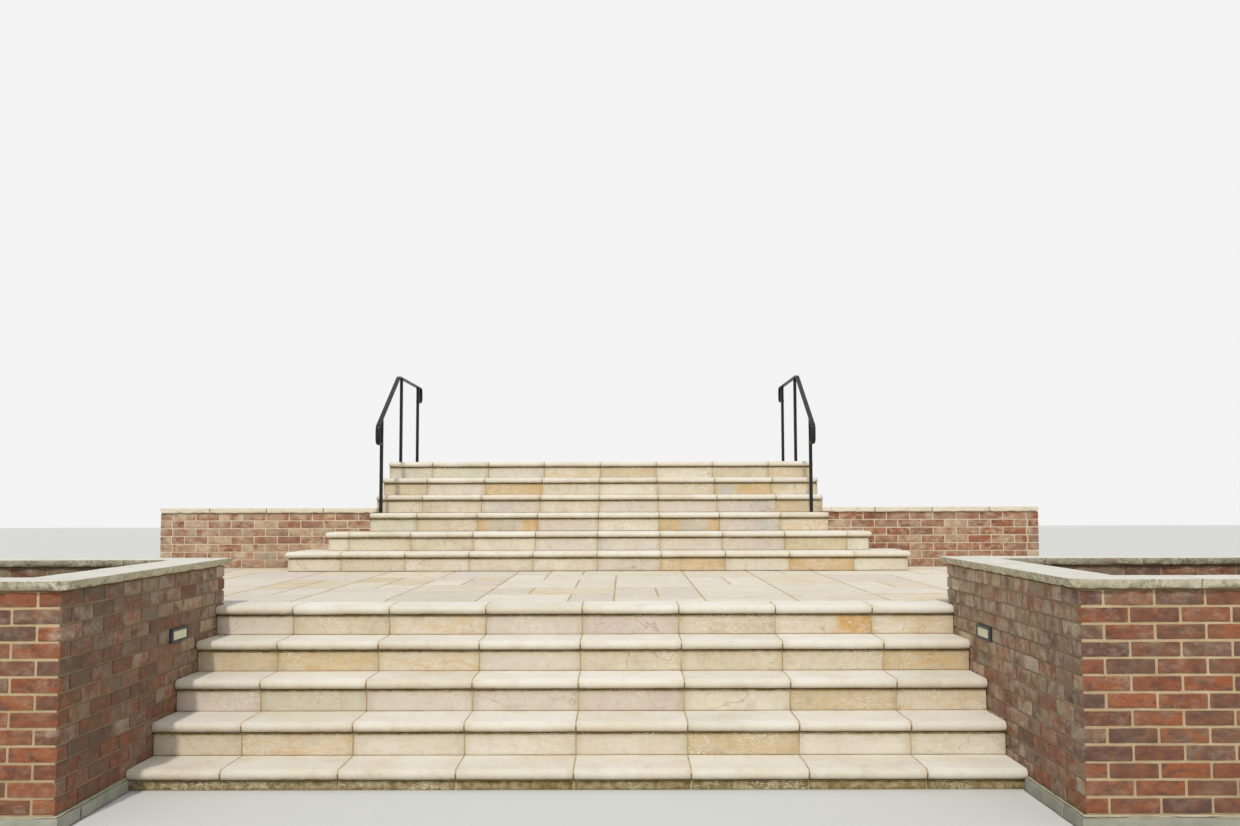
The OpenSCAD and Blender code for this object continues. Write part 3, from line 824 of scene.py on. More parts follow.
def pointing_finish():
    material, tree, surface = new_finish("golden brown pointing", 0.95)
    place, _, _ = own_place(tree)
    colour = mixed(tree, ranged(tree, mottle(tree, place, 9.0, 4.0), 0.35, 0.65),
                   (0.42, 0.29, 0.13), (0.60, 0.47, 0.27))
    # Grime and painted shade darken it to near black: dirt in the joints, and painted shade where it lies
    # under a nose or a coping.
    colour = mixed(tree, times(tree, marked_by(tree, "grime"), 0.8), colour, (0.13, 0.085, 0.016))
    tree.links.new(colour, surface.inputs["Base Color"])
    bumped(tree, surface, mottle(tree, place, 260.0, 3.0), 0.0010)
    return material


coping_stone = coping_finish()
pointing = pointing_finish()


def split_faced(stone, seed, ways, depth, clip=None):
    """A coping stone whose sides towards ways were broken with a hammer, its corner at clip knocked off."""
    points, quads, facing = stone
    low, high = points.min(0), points.max(0)
    drop = (high[2] - points[:, 2]) / (high[2] - low[2])
    flakes = (np.abs(ripple(points, 0.055, seed)) * 0.9
              + np.abs(ripple(points * (1, 1, 1.6), 0.024, seed + 1)) * 0.6
              + np.abs(ripple(points, 0.010, seed + 2)) * 0.35)
    scallops = np.abs(ripple(points * (1, 1, 0.3), 0.075, seed + 6)) ** 0.7
    broken = flakes * (0.3 + 0.7 * drop) + 1.3 * scallops * drop ** 2
    back = COPING_PITCH * drop ** 1.5 * 0.8 + depth * broken
    level = 0.0012 * (ripple(points, 0.16, seed + 3) - 1) + 0.0008 * (ripple(points, 0.03, seed + 4) - 1)
    depths = [((points @ np.array(way)).max() - points @ np.array(way)) for way in ways]
    nears = [(1 - inside / SPLIT_REACH).clip(0, 1) for inside in depths]
    near = np.max(nears, axis=0)
    spalled = 0.55 * depth * (ripple(points * (1, 1, 0), 0.045, seed + 7) + 0.25).clip(0) * near
    points = points - sum(np.outer(share * back, way) for share, way in zip(nears, ways))
    points[:, 2] += level * (facing[:, 2] > 0.5) + 1.6 * spalled * (drop > 0.8)
    if clip is not None:
        corner, size = clip
        away = np.abs(points[:, :2] - corner)
        over = (size - away.sum(1)).clip(0) / 2
        inward = np.sign((low + high)[:2] / 2 - corner)
        points[:, :2] += inward * over[:, None]
    return (points, quads, facing), near


def lay_coping(heap, ends, ways, bright=0.0, clip=None, turned=None):
    """One coping stone. The bright ones are newer, cleaner and a little smoother."""
    seed = int(dice.integers(9999))
    size = np.abs(np.subtract(*ends))
    pitch = [0.013, 0.013, 0.008]
    if not clip and not turned:
        pitch[1 if size[0] > size[1] else 0] = 0.026
    stone = block(*ends, 0.0025, pitch)
    if turned:
        stone = (turned(stone[0]), *stone[1:])
    stone, broken = split_faced(stone, seed, ways, 0.010 - 0.0045 * bright, clip)
    heap.lay(stone, 0, (dice.random(), bright, 0, dice.random()), broken)


FRONT, REAR = (0, -1, 0), (0, 1, 0)
COPING_BED = 0.009
LOW_COPING_BED = 0.003
BACK_CLIP = 0.012
CORNER_JOINT = 0.112
RING_W = WALL_T + 2 * COPING_OUT
POINTING_IN = 0.030
BED_IN = 0.008


def lay_bed(heap, corner, opposite, grime=0.0, ease=0.001):
    """The mortar under and between stones, one plain box that shows only in their joints."""
    heap.lay(block(corner, opposite, ease, UNCUT), 1, grime=grime)


def mitred(sign, near, far):
    """Slants a stone's joint at a front corner: it runs from the ring's inside to short of the corner."""
    inside = RING_W - COPING_OUT

    def turned(points):
        s = sign * points[:, 0] - FLIGHT_X
        t = points[:, 1] - PLANTER_FACE
        slant = (inside - CORNER_JOINT) * ((inside - s) / RING_W).clip(0, 1)
        share = (t - near) / (inside - near) if near < 0 else (far - t) / (far - inside)
        return points - np.outer(slant * share.clip(0, 1), (0, 1, 0))

    return turned


# The joints between the planter's coping stones, out from the steps and back from the front
ACROSS_JOINTS = [0.53, 1.12, 1.69]
ALONG_JOINTS = [0.72, 1.33]
# The joints between the low coping's stones, in from its end on the steps
LOW_JOINTS = [0.51, 1.06, 1.61]

for side, sign in SIDES.items():
    coping = Heap()
    inwards, outwards = (-sign, 0, 0), (sign, 0, 0)
    low, high = WALL_TOP + COPING_BED, WALL_TOP + COPING_T
    gap = POINTING_GAP / 2
    s0, s1 = -COPING_OUT, PLANTER_W + COPING_OUT
    t0, t1 = -COPING_OUT, PLANTER_L + COPING_OUT
    across = [s0, *ACROSS_JOINTS, s1]
    for row, (near, far) in enumerate(((t0, t0 + RING_W), (t1 - RING_W, t1))):
        for n, (a, b) in enumerate(zip(across[:-1], across[1:])):
            ways = [FRONT, REAR]
            clip = None
            for corner_n, s, way in ((0, s0, inwards), (len(across) - 2, s1, outwards)):
                if n == corner_n:
                    ways.append(way)
                    clip = (at_planter(sign, s, (t0, t1)[row], 0)[:2], (COPING_CLIP, BACK_CLIP)[row])
            a_in, b_in = a + (gap if n else 0), b - (gap if n < len(across) - 2 else 0)
            ends = (at_planter(sign, a_in, near, low), at_planter(sign, b_in, far, high))
            slant = mitred(sign, near, far) if n == row == 0 else None
            lay_coping(coping, ends, ways, clip=clip, turned=slant)
    along = [t0 + RING_W, *ALONG_JOINTS, t1 - RING_W]
    for near, far in ((s0, s0 + RING_W), (s1 - RING_W, s1)):
        for n, (a, b) in enumerate(zip(along[:-1], along[1:])):
            ends = (at_planter(sign, near, a + gap, low), at_planter(sign, far, b - gap, high))
            slant = mitred(sign, a, b) if n == 0 and near < 0 else None
            lay_coping(coping, ends, [inwards, outwards], turned=slant)
    inset = POINTING_IN
    bars = [((s0 + inset, t0 + inset), (s1 - inset, t0 + RING_W - inset)),
            ((s0 + inset, t1 - RING_W + inset), (s1 - inset, t1 - inset)),
            ((s0 + inset, t0 + 0.1), (s0 + RING_W - inset, t1 - 0.1)),
            ((s1 - RING_W + inset, t0 + 0.1), (s1 - inset, t1 - 0.1))]
    for (a, c), (b, d) in bars:
        lay_bed(coping, at_planter(sign, a, c, low + 0.001), at_planter(sign, b, d, high - 0.006))
    wall_in = WALL_T - BED_IN
    beds = [((BED_IN, BED_IN), (PLANTER_W - BED_IN, wall_in)),
            ((BED_IN, PLANTER_L - wall_in), (PLANTER_W - BED_IN, PLANTER_L - BED_IN)),
            ((BED_IN + 0.001, 0.1), (wall_in, PLANTER_L - 0.1)),
            ((PLANTER_W - wall_in, 0.1), (PLANTER_W - BED_IN - 0.001, PLANTER_L - 0.1))]
    # The bed under the coping is darkened: a recessed joint, with painted shade under the stones' overhang.
    for (a, c), (b, d) in beds:
        lay_bed(coping, at_planter(sign, a, c, WALL_TOP), at_planter(sign, b, d, low + 0.001), 0.8)
    coping.build(f"{side}_planter_coping_stones", [coping_stone, pointing], "coping_stone",
                 f"{side}_planter_coping")

    low_coping = Heap()
    start, end = UPPER_X - LOW_COPING_LAP, TERRACE_X
    joints = [start, *(start + far_in for far_in in LOW_JOINTS), end]
    near, far = LOW_FACE - LOW_COPING_OUT, LOW_BACK + LOW_COPING_OUT
    bed_top, top = LOW_TOP + LOW_COPING_BED, LOW_TOP + LOW_COPING_T
    for n, (a, b) in enumerate(zip(joints[:-1], joints[1:])):
        ways = [FRONT, REAR] + ([inwards] if n == 0 else []) + ([outwards] if n == 3 else [])
        a_in, b_in = a + (2 * gap if n else 0), b - (2 * gap if n < 3 else 0)
        lay_coping(low_coping, ((sign * a_in, near, bed_top), (sign * b_in, far, top)), ways, 1.0)
    lay_bed(low_coping, (sign * (start + inset), near + inset, bed_top + 0.001),
            (sign * (end - inset), far - inset, top - 0.006), 1.0)
    # The bed under the low coping is darkened too: a recessed joint, with painted shade under the overhang.
    lay_bed(low_coping, (sign * (start + 0.02), LOW_FACE + BED_IN, LOW_TOP),
            (sign * (end - BED_IN), LOW_BACK - BED_IN, bed_top + 0.001), 0.6)
    low_coping.build(f"{side}_low_coping_stones", [coping_stone, pointing], "coping_stone",
                     f"{side}_low_coping")

# Risers
# Each riser is faced with sawn sandstone 30 mm thick, about 580 mm long, bedded in golden mortar
# that shows as thin lines. The stones run from cream and grey-pink to ochre, with fine bedding.

STONE_L = 0.587
RISER_BED = 0.001
RISER_HEAD = 0.005
LINE_DEPTH = 0.006
FINE_EASE = 0.0005
# Kinds of stone in each row from the left. KINDS below says what each is
LOWER_KINDS = ["gggggggg", "bucwcmww", "pgppPcmu", "mnupbbbn", "pbupvbOu"]
UPPER_KINDS = ["cbwcwpowoc", "cbbcpppvmc", "gbGpcGvu", "bbpbppvm", "dpGbcbGu", "ggpumcbm"]
# Where damp has bleached the upper risers to a dull grey: from where to where along the row, and how much
BLEACHED = {2: [(-0.04, 0.08, 1.0)], 3: [(-1.09, -0.76, 0.9), (0.78, 1.05, 0.9), (1.50, 1.70, 1.0)],
            4: [(-1.11, -0.84, 0.5), (1.52, 1.73, 0.6)], 5: [(1.19, 1.38, 0.9)]}


def sandstone(tree, own, look, dirt_and_shade, rust):
    """Sandstone's colours: cream to ochre by the stone's kind, clouded, and faintly banded."""
    tone, gold, tint = look[0], look[1], look[2]
    cloud = mottle(tree, own, 3.2, 4.0, 0.55, 0.3)
    colour = mixed(tree, ranged(tree, cloud, 0.32, 0.68), (0.760, 0.685, 0.560), (0.845, 0.800, 0.705))
    colour = mixed(tree, ranged(tree, tone, 0, 1, 0, 0.84), colour, (0.610, 0.510, 0.350))
    pinkish = ranged(tree, tint, 0.5, 1.0)
    greenish = ranged(tree, tint, 0.5, 0.0)
    patch = ranged(tree, cloud, 0.25, 0.7, 0.45, 1.0)
    colour = mixed(tree, times(tree, pinkish, patch), colour, (0.650, 0.560, 0.515))
    colour = mixed(tree, times(tree, greenish, patch), colour, (0.580, 0.565, 0.450))
    veins = ranged(tree, mottle(tree, stretched(tree, own, 1.2, 1.0, 5.0), 4.5, 5.0, 0.62, 1.4), 0.44, 0.64)
    veins = times(tree, gold, ranged(tree, veins, 0, 1, 0.15, 1.0))
    colour = mixed(tree, veins, colour, (0.700, 0.475, 0.220))
    iron = times(tree, rust, ranged(tree, mottle(tree, own, 9.0, 5.0, 0.65, 0.8), 0.30, 0.56, 0.25, 1.0))
    colour = mixed(tree, iron, colour, (0.640, 0.375, 0.125))
    runs = mottle(tree, stretched(tree, own, 1.0, 1.0, 0.35), 16.0, 4.0, 0.65, 0.5)
    film = times(tree, ranged(tree, rust, 0.0, -1.0), ranged(tree, runs, 0.38, 0.60, 0.5, 1.0))
    colour = mixed(tree, film, colour, (0.545, 0.525, 0.485))
    deep = ranged(tree, tone, 0, 1, 0.30, 0.75)
    smudge = ranged(tree, mottle(tree, own, 6.5, 6.0, 0.66, 0.9), 0.52, 0.72)
    colour = mixed(tree, times(tree, smudge, deep), colour, (0.470, 0.395, 0.270))
    clouds = ranged(tree, mottle(tree, own, 22.0, 4.0, 0.65, 0.5), 0.50, 0.72)
    colour = mixed(tree, times(tree, clouds, times(tree, deep, 0.8)), colour, (0.480, 0.390, 0.245))
    specks = ranged(tree, mottle(tree, own, 190.0, 2.0, 0.6), 0.60, 0.74, 0.0, 0.35)
    colour = mixed(tree, specks, colour, (0.480, 0.410, 0.280))
    # Dirt and painted shade stain the stone brown, and where they are strongest it turns near black: painted
    # shade under a tread's nose.
    stain_and_shade = times(tree, dirt_and_shade, ranged(tree, mottle(tree, own, 26.0, 4.0, 0.65), 0.30, 0.62, 0.6, 1.0))
    colour = mixed(tree, stain_and_shade, colour, (0.325, 0.220, 0.056))
    return mixed(tree, ranged(tree, stain_and_shade, 0.6, 1.0, 0.0, 0.85), colour, (0.085, 0.056, 0.008))


def cracked(tree, own, colour):
    """Thin brown hair cracks that wander over some of the stones and die out."""
    level = times(tree, mottle(tree, own, 2.6, 4.0, 0.5, 0.6), 0.5, "SUBTRACT")
    crack = ranged(tree, times(tree, level, 0.0, "ABSOLUTE"), 0.0015, 0.0045, 1.0, 0.0)
    some = ranged(tree, mottle(tree, own, 1.7, 2.0), 0.47, 0.53, 0.0, 0.48)
    return mixed(tree, times(tree, crack, some), colour, (0.330, 0.230, 0.110))


def riser_finish():
    material, tree, surface = new_finish("sawn riser sandstone", 0.86)
    _, own, look = own_place(tree)
    colour = sandstone(tree, own, look, marked_by(tree, "grime"), marked_by(tree, "rust"))
    colour = mixed(tree, 1.0, colour, (0.90, 0.905, 0.90), "MULTIPLY")
    lines = add(tree, "TexWave", {"bands_direction": "Z", "wave_profile": "SAW"}, Vector=own, Scale=7.0,
                Distortion=9.0, Detail=4.0, Detail_Scale=1.3)
    hairs = times(tree, ranged(tree, lines.outputs[1], 0.93, 0.99, 0.0, 0.5),
                  ranged(tree, look[0], 0, 1, 0.3, 1.0))
    colour = mixed(tree, hairs, colour, (0.40, 0.30, 0.16))
    ripples = ranged(tree, mottle(tree, stretched(tree, own, 1, 1, 2.4), 26.0, 3.0, 0.6, 2.5), 0.52, 0.60)
    ripples = times(tree, ripples, ranged(tree, mottle(tree, own, 3.5, 2.0), 0.46, 0.60, 0.0, 0.55))
    colour = mixed(tree, ripples, colour, (0.800, 0.735, 0.610))
    colour = cracked(tree, own, colour)
    tree.links.new(colour, surface.inputs["Base Color"])
    under = bumped(tree, surface, mottle(tree, own, 240.0, 3.0, 0.7), 0.0006)
    bumped(tree, surface, mottle(tree, stretched(tree, own, 1, 1, 3), 14.0, 5.0, 0.6, 0.8), 0.003, under)
    return material


riser_stone = riser_finish()
# Each kind's tone from pale to dark, its gold veins, and its tint: 0 green, 0.5 none, 1 pink
KINDS = {"c": (0.25, 0.02, 0.50), "p": (0.25, 0.0, 0.85), "P": (0.40, 0.0, 1.0), "b": (0.60, 0.12, 0.55),
         "o": (0.22, 0.95, 0.50), "O": (0.20, 0.35, 0.60), "w": (0.05, 0.0, 0.54), "g": (0.33, 0.05, 0.10),
         "m": (0.95, 0.48, 0.50), "n": (0.97, 0.75, 0.52), "v": (0.50, 0.0, 1.0), "u": (0.30, 0.58, 0.50),
         "G": (0.95, 1.00, 0.50), "d": (1.0, 0.10, 0.40), "e": (0.28, 0.04, 0.32),
         "y": (0.40, 0.20, 0.42)}
RUSTY = "oOG"


def stone_joints(half, first=-0.015, stone=STONE_L):
    """The joints of a row of stones: one every stone each way from the first, and the two ends."""
    across = [first + k * stone for k in range(-4, 5)]
    return [-half] + [x for x in across if abs(x) < half - 0.1] + [half]


def kind_look(kind, vary=0.10):
    """A stone's look: that of its kind, but no two quite alike."""
    tone, gold, tint = KINDS[kind]
    tone += dice.normal(0, vary)
    gold += abs(dice.normal(0, 0.06))
    tint += dice.normal(0, 0.05)
    return (*np.clip([tone, gold, tint], 0, 1).tolist(), dice.random())


def iron_patch(points, run, kind, seed, bleached=()):
    """Rust-gold from iron over the whole stone or only one end, and below zero where damp has bleached it."""
    iron = np.zeros(len(points))
    if kind in RUSTY:
        low, high = points[:, run].min(), points[:, run].max()
        share = (points[:, run] - low) / (high - low)
        edge, most = (0.62, 1.0) if kind == "O" else (-0.2, 0.45)
        iron = most * np.clip((share - edge + 0.10 * ripple(points, 0.05, seed)) / 0.08, 0, 1)
    for start, end, much in bleached:
        past_start, short_of_end = points[:, run] - start, end - points[:, run]
        inside = np.clip(past_start / 0.03 + 0.5, 0, 1) * np.clip(short_of_end / 0.03 + 0.5, 0, 1)
        iron = iron * (1 - inside) - much * inside
    return iron


def lay_riser(heap, corner, opposite, kind, bleached=()):
    """One facing stone, with painted shade and stain along its top under the tread, and a little dirt at its
    ends.
    """
    stone = block(corner, opposite, 0.002, (0.045, 0.045, 0.014))
    seed = int(dice.integers(9999))
    points, quads, facing = weathered(stone, seed, 0.0022, 0.0010)
    low, high = points.min(0), points.max(0)
    below, above = high[2] - points[:, 2], points[:, 2] - low[2]
    # Along the top, under the tread's nose: painted shade, stained brown. A little darker along the foot.
    dirt_and_shade = 1.00 * np.exp(-below / 0.009) + 0.22 * np.exp(-below / 0.025) + 0.08 * np.exp(-above / 0.005)
    run = 0 if high[0] - low[0] > high[1] - low[1] else 1
    near_end = np.minimum(points[:, run] - low[run], high[run] - points[:, run])
    dirt_and_shade += 0.30 * np.exp(-near_end / 0.004) + 0.85 * np.exp(-(points[:, 2] / 0.05) ** 2)
    heap.lay((points, quads), 0, kind_look(kind, 0.06), dirt_and_shade.clip(0, 1),
             iron_patch(points, run, kind, seed + 3, bleached))


def riser_row(heap, half, y, low, high, kinds, cuts, bleached=()):
    """One riser's facing stones between cuts, and the mortar behind them and over their tops."""
    gap = POINTING_GAP / 2
    for n, (a, b) in enumerate(zip(cuts[:-1], cuts[1:])):
        a_in, b_in = a + (gap if n else 0), b - (gap if n < len(cuts) - 2 else 0)
        lay_riser(heap, (a_in, y, low + RISER_BED), (b_in, y + RISER_T, high - RISER_HEAD),
                  kinds[n % len(kinds)], bleached)
    end = half - LINE_DEPTH
    # The mortar line over the stones' tops, under the tread's nose, is near black: a real joint, darkened as
    # painted shade.
    for foot, head, grime in ((low, high - RISER_HEAD, 0.0), (high - RISER_HEAD, high, 1.25)):
        lay_bed(heap, (-end, y + LINE_DEPTH, foot), (end, y + RISER_T, head), grime, FINE_EASE)


lower_risers = Heap()
for step in range(1, 6):
    low = 0.0 if step == 1 else lower_z(step - 1)
    riser_row(lower_risers, FLIGHT_X, lower_y(step), low, lower_z(step) - TREAD_T, LOWER_KINDS[step - 1],
              stone_joints(FLIGHT_X))
lower_risers.build("lower_riser_stones", [riser_stone, pointing], "riser_stone", "lower_risers")

upper_risers = Heap()
UPPER_GRID = (-0.006, 0.585)
for step in range(3, 7):
    riser_row(upper_risers, UPPER_X, upper_y(step), upper_z(step - 1), upper_z(step) - TREAD_T,
              UPPER_KINDS[step - 1], stone_joints(UPPER_X, *UPPER_GRID), BLEACHED.get(step, ()))
upper_risers.build("upper_riser_stones", [riser_stone, pointing], "riser_stone", "upper_risers")

for step, half in WRAP_HALF.items():
    heap = Heap()
    low = CORE_Z if step == 1 else upper_z(step - 1)
    low_seen = LANDING_Z if step == 1 else low
    high = upper_z(step) - TREAD_T
    face = half - NOSING
    riser_row(heap, face, upper_y(step), low_seen, high, UPPER_KINDS[step - 1],
              stone_joints(face, *UPPER_GRID), BLEACHED.get(step, ()))
    for sign in SIDES.values():
        lay_riser(heap, (sign * face, upper_y(step) + RISER_T + POINTING_GAP, low_seen + RISER_BED),
                  (sign * (face - RISER_T), LOW_FACE, high - RISER_HEAD), "cb"[step - 1])
        lay_bed(heap, (sign * (face - LINE_DEPTH), upper_y(step) + 0.01, low),
                (sign * (face - RISER_T), LOW_FACE, high), ease=FINE_EASE)
    heap.build(f"upper_riser_{step}_stones", [riser_stone, pointing], "riser_stone", f"upper_riser_{step}")

# Treads
# Each tread is pale sandstone 54 mm thick with its front edge turned to a full half round. The two
# lowest upper treads turn the corner, with a ball at the corner. Feet and rain have softened them.


def tread_finish():
    material, tree, surface = new_finish("worn tread sandstone", 0.8)
    _, own, look = own_place(tree)
    colour = sandstone(tree, own, look, marked_by(tree, "grime"), marked_by(tree, "rust"))
    film = ranged(tree, mottle(tree, own, 2.2, 5.0, 0.6, 0.4), 0.38, 0.66, 0.15, 0.55)
    colour = mixed(tree, film, colour, (0.880, 0.865, 0.825))
    # Level tops are made a little lighter and the rounded noses a little darker: painted light on the tops,
    # painted shade on the noses.
    level = add(tree, "SeparateXYZ", None, Vector=add(tree, "NewGeometry").outputs["Normal"]).outputs[2]
    wear = mixed(tree, ranged(tree, level, 0.82, 0.98), (0.915, 0.910, 0.890), (1.045, 1.050, 1.060))
    colour = mixed(tree, 1.0, colour, wear, "MULTIPLY")
    tree.links.new(colour, surface.inputs["Base Color"])
    under = bumped(tree, surface, mottle(tree, own, 210.0, 3.0, 0.7), 0.0006)
    bumped(tree, surface, mottle(tree, stretched(tree, own, 1, 2.5, 1), 9.0, 5.0, 0.55, 0.8), 0.003, under)
    return material


tread_stone = tread_finish()
NOSE_TURNS = np.radians(np.linspace(-90, 90, 15))
TREAD_EASE = 0.0025
UNDER_RISER = 0.020
JOINT_HALF = 0.004
JOINT_SUNK = 0.0022


def nosed_stone(middles, outward, inner, top, thick=TREAD_T, ends=True):
    """A stone with a rounded edge: its section is carried along middles, the rounding's middle line."""
    half = thick / 2
    middles, outward, inner = (np.asarray(v, float) for v in (middles, outward, inner))
    back = np.linspace(0, 1, 9)[1:]
    sections = []
    for n, (m, o, c) in enumerate(zip(middles, outward, inner)):
        shrink = TREAD_EASE if ends and n in (0, len(middles) - 1) else 0.0
        r = half - shrink
        arc = [(*(m + o * r * math.cos(a)), top - half + r * math.sin(a)) for a in NOSE_TURNS]
        flat = [(*(m + (c - m) * b), top - half + r) for b in back]
        sections.append([(*c, top - half - r)] + arc + flat)
    points = np.array(sections)
    count, size = points.shape[:2]
    flat_up = np.zeros_like(points)
    flat_up[:, 1:1 + len(NOSE_TURNS), :2] = outward[:, None, :] * np.cos(NOSE_TURNS)[None, :, None]
    flat_up[:, 1:1 + len(NOSE_TURNS), 2] = np.sin(NOSE_TURNS)
    flat_up[:, 1 + len(NOSE_TURNS):, 2] = 1
    flat_up[:, 0, 2] = -1
    faces = []
    for i in range(count - 1):
        for k in range(size):
            a, b = i * size + k, i * size + (k + 1) % size
            faces.append([a, b, b + size, a + size])
    faces.append(list(range(size))[::-1])
    faces.append([(count - 1) * size + k for k in range(size)])
    turn = middles[-1] - middles[0]
    if turn[0] * outward[0][1] >= turn[1] * outward[0][0]:
        faces = [f[::-1] for f in faces]
    return points.reshape(-1, 3), faces, flat_up.reshape(-1, 3)


def welded(stone):
    """The stone with its coinciding points made one, and the faces that vanish left out."""
    points, faces, facing = stone
    _, first, same = np.unique(np.round(points, 6), axis=0, return_index=True, return_inverse=True)
    same = same.ravel()
    kept = []
    for face in faces:
        loop = [int(same[v]) for v in face]
        loop = [v for n, v in enumerate(loop) if v != loop[n - 1]]
        if len(set(loop)) > 2:
            kept.append(loop)
    return points[first], kept, facing[first]


def lay_nosed(heap, stone, kind, top, thick=TREAD_T):
    """Lays a tread stone with worn surface, stain, painted shade and light below its rounding, and grime
    along its joints.
    """
    points, faces, facing = stone
    seed = int(dice.integers(9999))
    wear = 0.0016 * (ripple(points, 0.13, seed) - 1) / 2 + 0.0012 * (ripple(points, 0.03, seed + 1) - 1) / 2
    chips = (ripple(points, 0.02, seed + 2) - 0.62).clip(0) * 0.006 * (np.abs(facing[:, 2]) < 0.9)
    low_on_nose = ((top - points[:, 2]) / thick).clip(0, 1)
    run = points[:, 0] - points[:, 0].mean()
    near_end = np.minimum(run - run.min(), run.max() - run)
    on_nose = np.abs(facing[:, 2]) < 0.95
    # Stones to the left take more stain and those to the right less: painted shade to the left, painted light
    # to the right.
    shade = float(np.clip(0.56 - 0.26 * points[:, 0].mean(), 0.08, 1.25))
    stained_and_shaded = shade * (0.26 + 0.30 * (seed % 7) / 6)
    # Stain below the rounding, and near black on its underside: painted shade.
    dirt_and_shade = stained_and_shaded * (low_on_nose - 0.25).clip(0, 0.45) / 0.45 + 0.75 * (low_on_nose - 0.72).clip(0) / 0.28
    dirt_and_shade += (0.10 + 0.5 * on_nose) * np.exp(-near_end / 0.0035)
    moved = points + facing * (wear - chips)[:, None]
    heap.lay((moved, faces), 0, kind_look(kind), dirt_and_shade.clip(0, 1))


def stations(a, b):
    """Places along a stone: close at both ends for the eased edges, then about every 40 mm."""
    a_in, b_in = a + TREAD_EASE, b - TREAD_EASE
    return np.concatenate([[a], np.linspace(a_in, b_in, max(2, round((b_in - a_in) / 0.04) + 1)), [b]])


def lay_joint(heap, middles, out, inner, top, grimy=False):
    """The pointing between two tread stones, set back from their faces. Under the nose it can be black."""
    joint = nosed_stone(middles, [out] * 2, inner, top - JOINT_SUNK, TREAD_T - 2 * JOINT_SUNK, ends=False)
    below = (top - joint[0][:, 2]) / TREAD_T > 0.35
    heap.lay(joint[:2], 1, grime=below.astype(float) if grimy else 0.0)


def straight_stones(heap, cuts, front, rear, top, kinds):
    """A row of tread stones between cuts, with the joint lines between them."""
    gap = POINTING_GAP / 2
    middle = front + TREAD_T / 2
    out = (0, -1)
    for n, (a, b) in enumerate(zip(cuts[:-1], cuts[1:])):
        places = stations(a + (gap if n else 0), b - (gap if n < len(cuts) - 2 else 0))
        stone = nosed_stone([(x, middle) for x in places], [out] * len(places),
                            [(x, rear) for x in places], top)
        lay_nosed(heap, stone, kinds[n % len(kinds)], top)
    for cut in cuts[1:-1]:
        sides = (cut - JOINT_HALF, cut + JOINT_HALF)
        lay_joint(heap, [(x, middle) for x in sides], out, [(x, rear) for x in sides], top, grimy=True)


LOWER_TREADS = ["yebbbyee", "eywwyeww", "ewywwewe", "ewccweww", "cweewwww"]
UPPER_TREADS = ["wcwcwwcwcw", "cwwcwcwwcw", "wcwwcwwc", "cwwcwcww", "wwcwwcwc", "cwwcwwcw"]


def tread_row(node, y, top, rear, kinds, cuts):
    heap = Heap()
    straight_stones(heap, cuts, y - NOSING, rear, top, kinds)
    heap.build(f"{node}_stones", [tread_stone, pointing], "tread_stone", node)


lower_joints, upper_joints = stone_joints(FLIGHT_X), stone_joints(UPPER_X, *UPPER_GRID)
for step in range(1, 5):
    tread_row(f"lower_tread_{step}", lower_y(step), lower_z(step), lower_y(step + 1) + UNDER_RISER,
              LOWER_TREADS[step - 1], lower_joints)
LANDING_EDGE_BACK = lower_y(5) - NOSING + EDGE_D
tread_row("landing_edge", lower_y(5), LANDING_Z, LANDING_EDGE_BACK - 0.004, LOWER_TREADS[4], lower_joints)
for step in range(3, 6):
    tread_row(f"upper_tread_{step}", upper_y(step), upper_z(step), upper_y(step + 1) + UNDER_RISER,
              UPPER_TREADS[step - 1], upper_joints)
tread_row("top_landing_edge", upper_y(6), TOP_Z, TOP_EDGE_BACK - 0.004, UPPER_TREADS[5], upper_joints)

CORNER_TURN = np.radians(np.linspace(0, 90, 9))
CORNER_STONE_D = 0.350
RETURN_IN = WRAP_HALF[2] - NOSING - UNDER_RISER
for step, half in WRAP_HALF.items():
    heap = Heap()
    front = upper_y(step) - NOSING
    top = upper_z(step)
    radius = TREAD_T / 2
    gap = POINTING_GAP / 2
    cuts = [UPPER_GRID[0] + k * UPPER_GRID[1] for k in range(-4, 5)]
    straight_stones(heap, [cuts[0] + gap] + cuts[1:-1] + [cuts[-1] - gap], front,
                    LOW_FACE if step == 2 else upper_y(2) + UNDER_RISER, top, UPPER_TREADS[step - 1])
    for sign in SIDES.values():
        joint_x = abs(cuts[0 if sign < 0 else -1])
        rear = LOW_FACE if step == 2 else front + CORNER_STONE_D
        side_x = half - radius
        runs_x = stations(joint_x + gap, side_x)[:-1]
        runs_y = stations(front + radius, rear)[1:]
        middles = [(x, front + radius) for x in runs_x]
        outs = [(0.0, -1.0)] * len(runs_x)
        middles += [(side_x, front + radius)] * len(CORNER_TURN)
        outs += [(math.sin(a), -math.cos(a)) for a in CORNER_TURN]
        middles += [(side_x, y) for y in runs_y]
        outs += [(1.0, 0.0)] * len(runs_y)
        stone = nosed_stone([(sign * x, y) for x, y in middles], [(sign * x, y) for x, y in outs],
                            [(sign * (joint_x + gap), rear)] * len(middles), top)
        lay_nosed(heap, welded(stone), "c", top)
        sides = (sign * (joint_x - JOINT_HALF), sign * (joint_x + JOINT_HALF))
        lay_joint(heap, [(x, front + radius) for x in sides], (0, -1), [(x, rear) for x in sides], top)
        if step == 1:
            places = stations(rear + POINTING_GAP, LOW_FACE)
            stone = nosed_stone([(sign * side_x, y) for y in places], [(sign, 0)] * len(places),
                                [(sign * RETURN_IN, y) for y in places], top)
            lay_nosed(heap, stone, "w", top)
            sides = (rear - 0.001, rear + 0.007)
            lay_joint(heap, [(sign * side_x, y) for y in sides], (sign, 0),
                      [(sign * RETURN_IN, y) for y in sides], top)
    heap.build(f"upper_tread_{step}_stones", [tread_stone, pointing], "tread_stone", f"upper_tread_{step}")

# Paving
# Both landings are laid with riven sandstone flags on a mortar bed. They come in a few sizes on one
# grid, fitted together at random and cut round the planters and the wrapped steps.


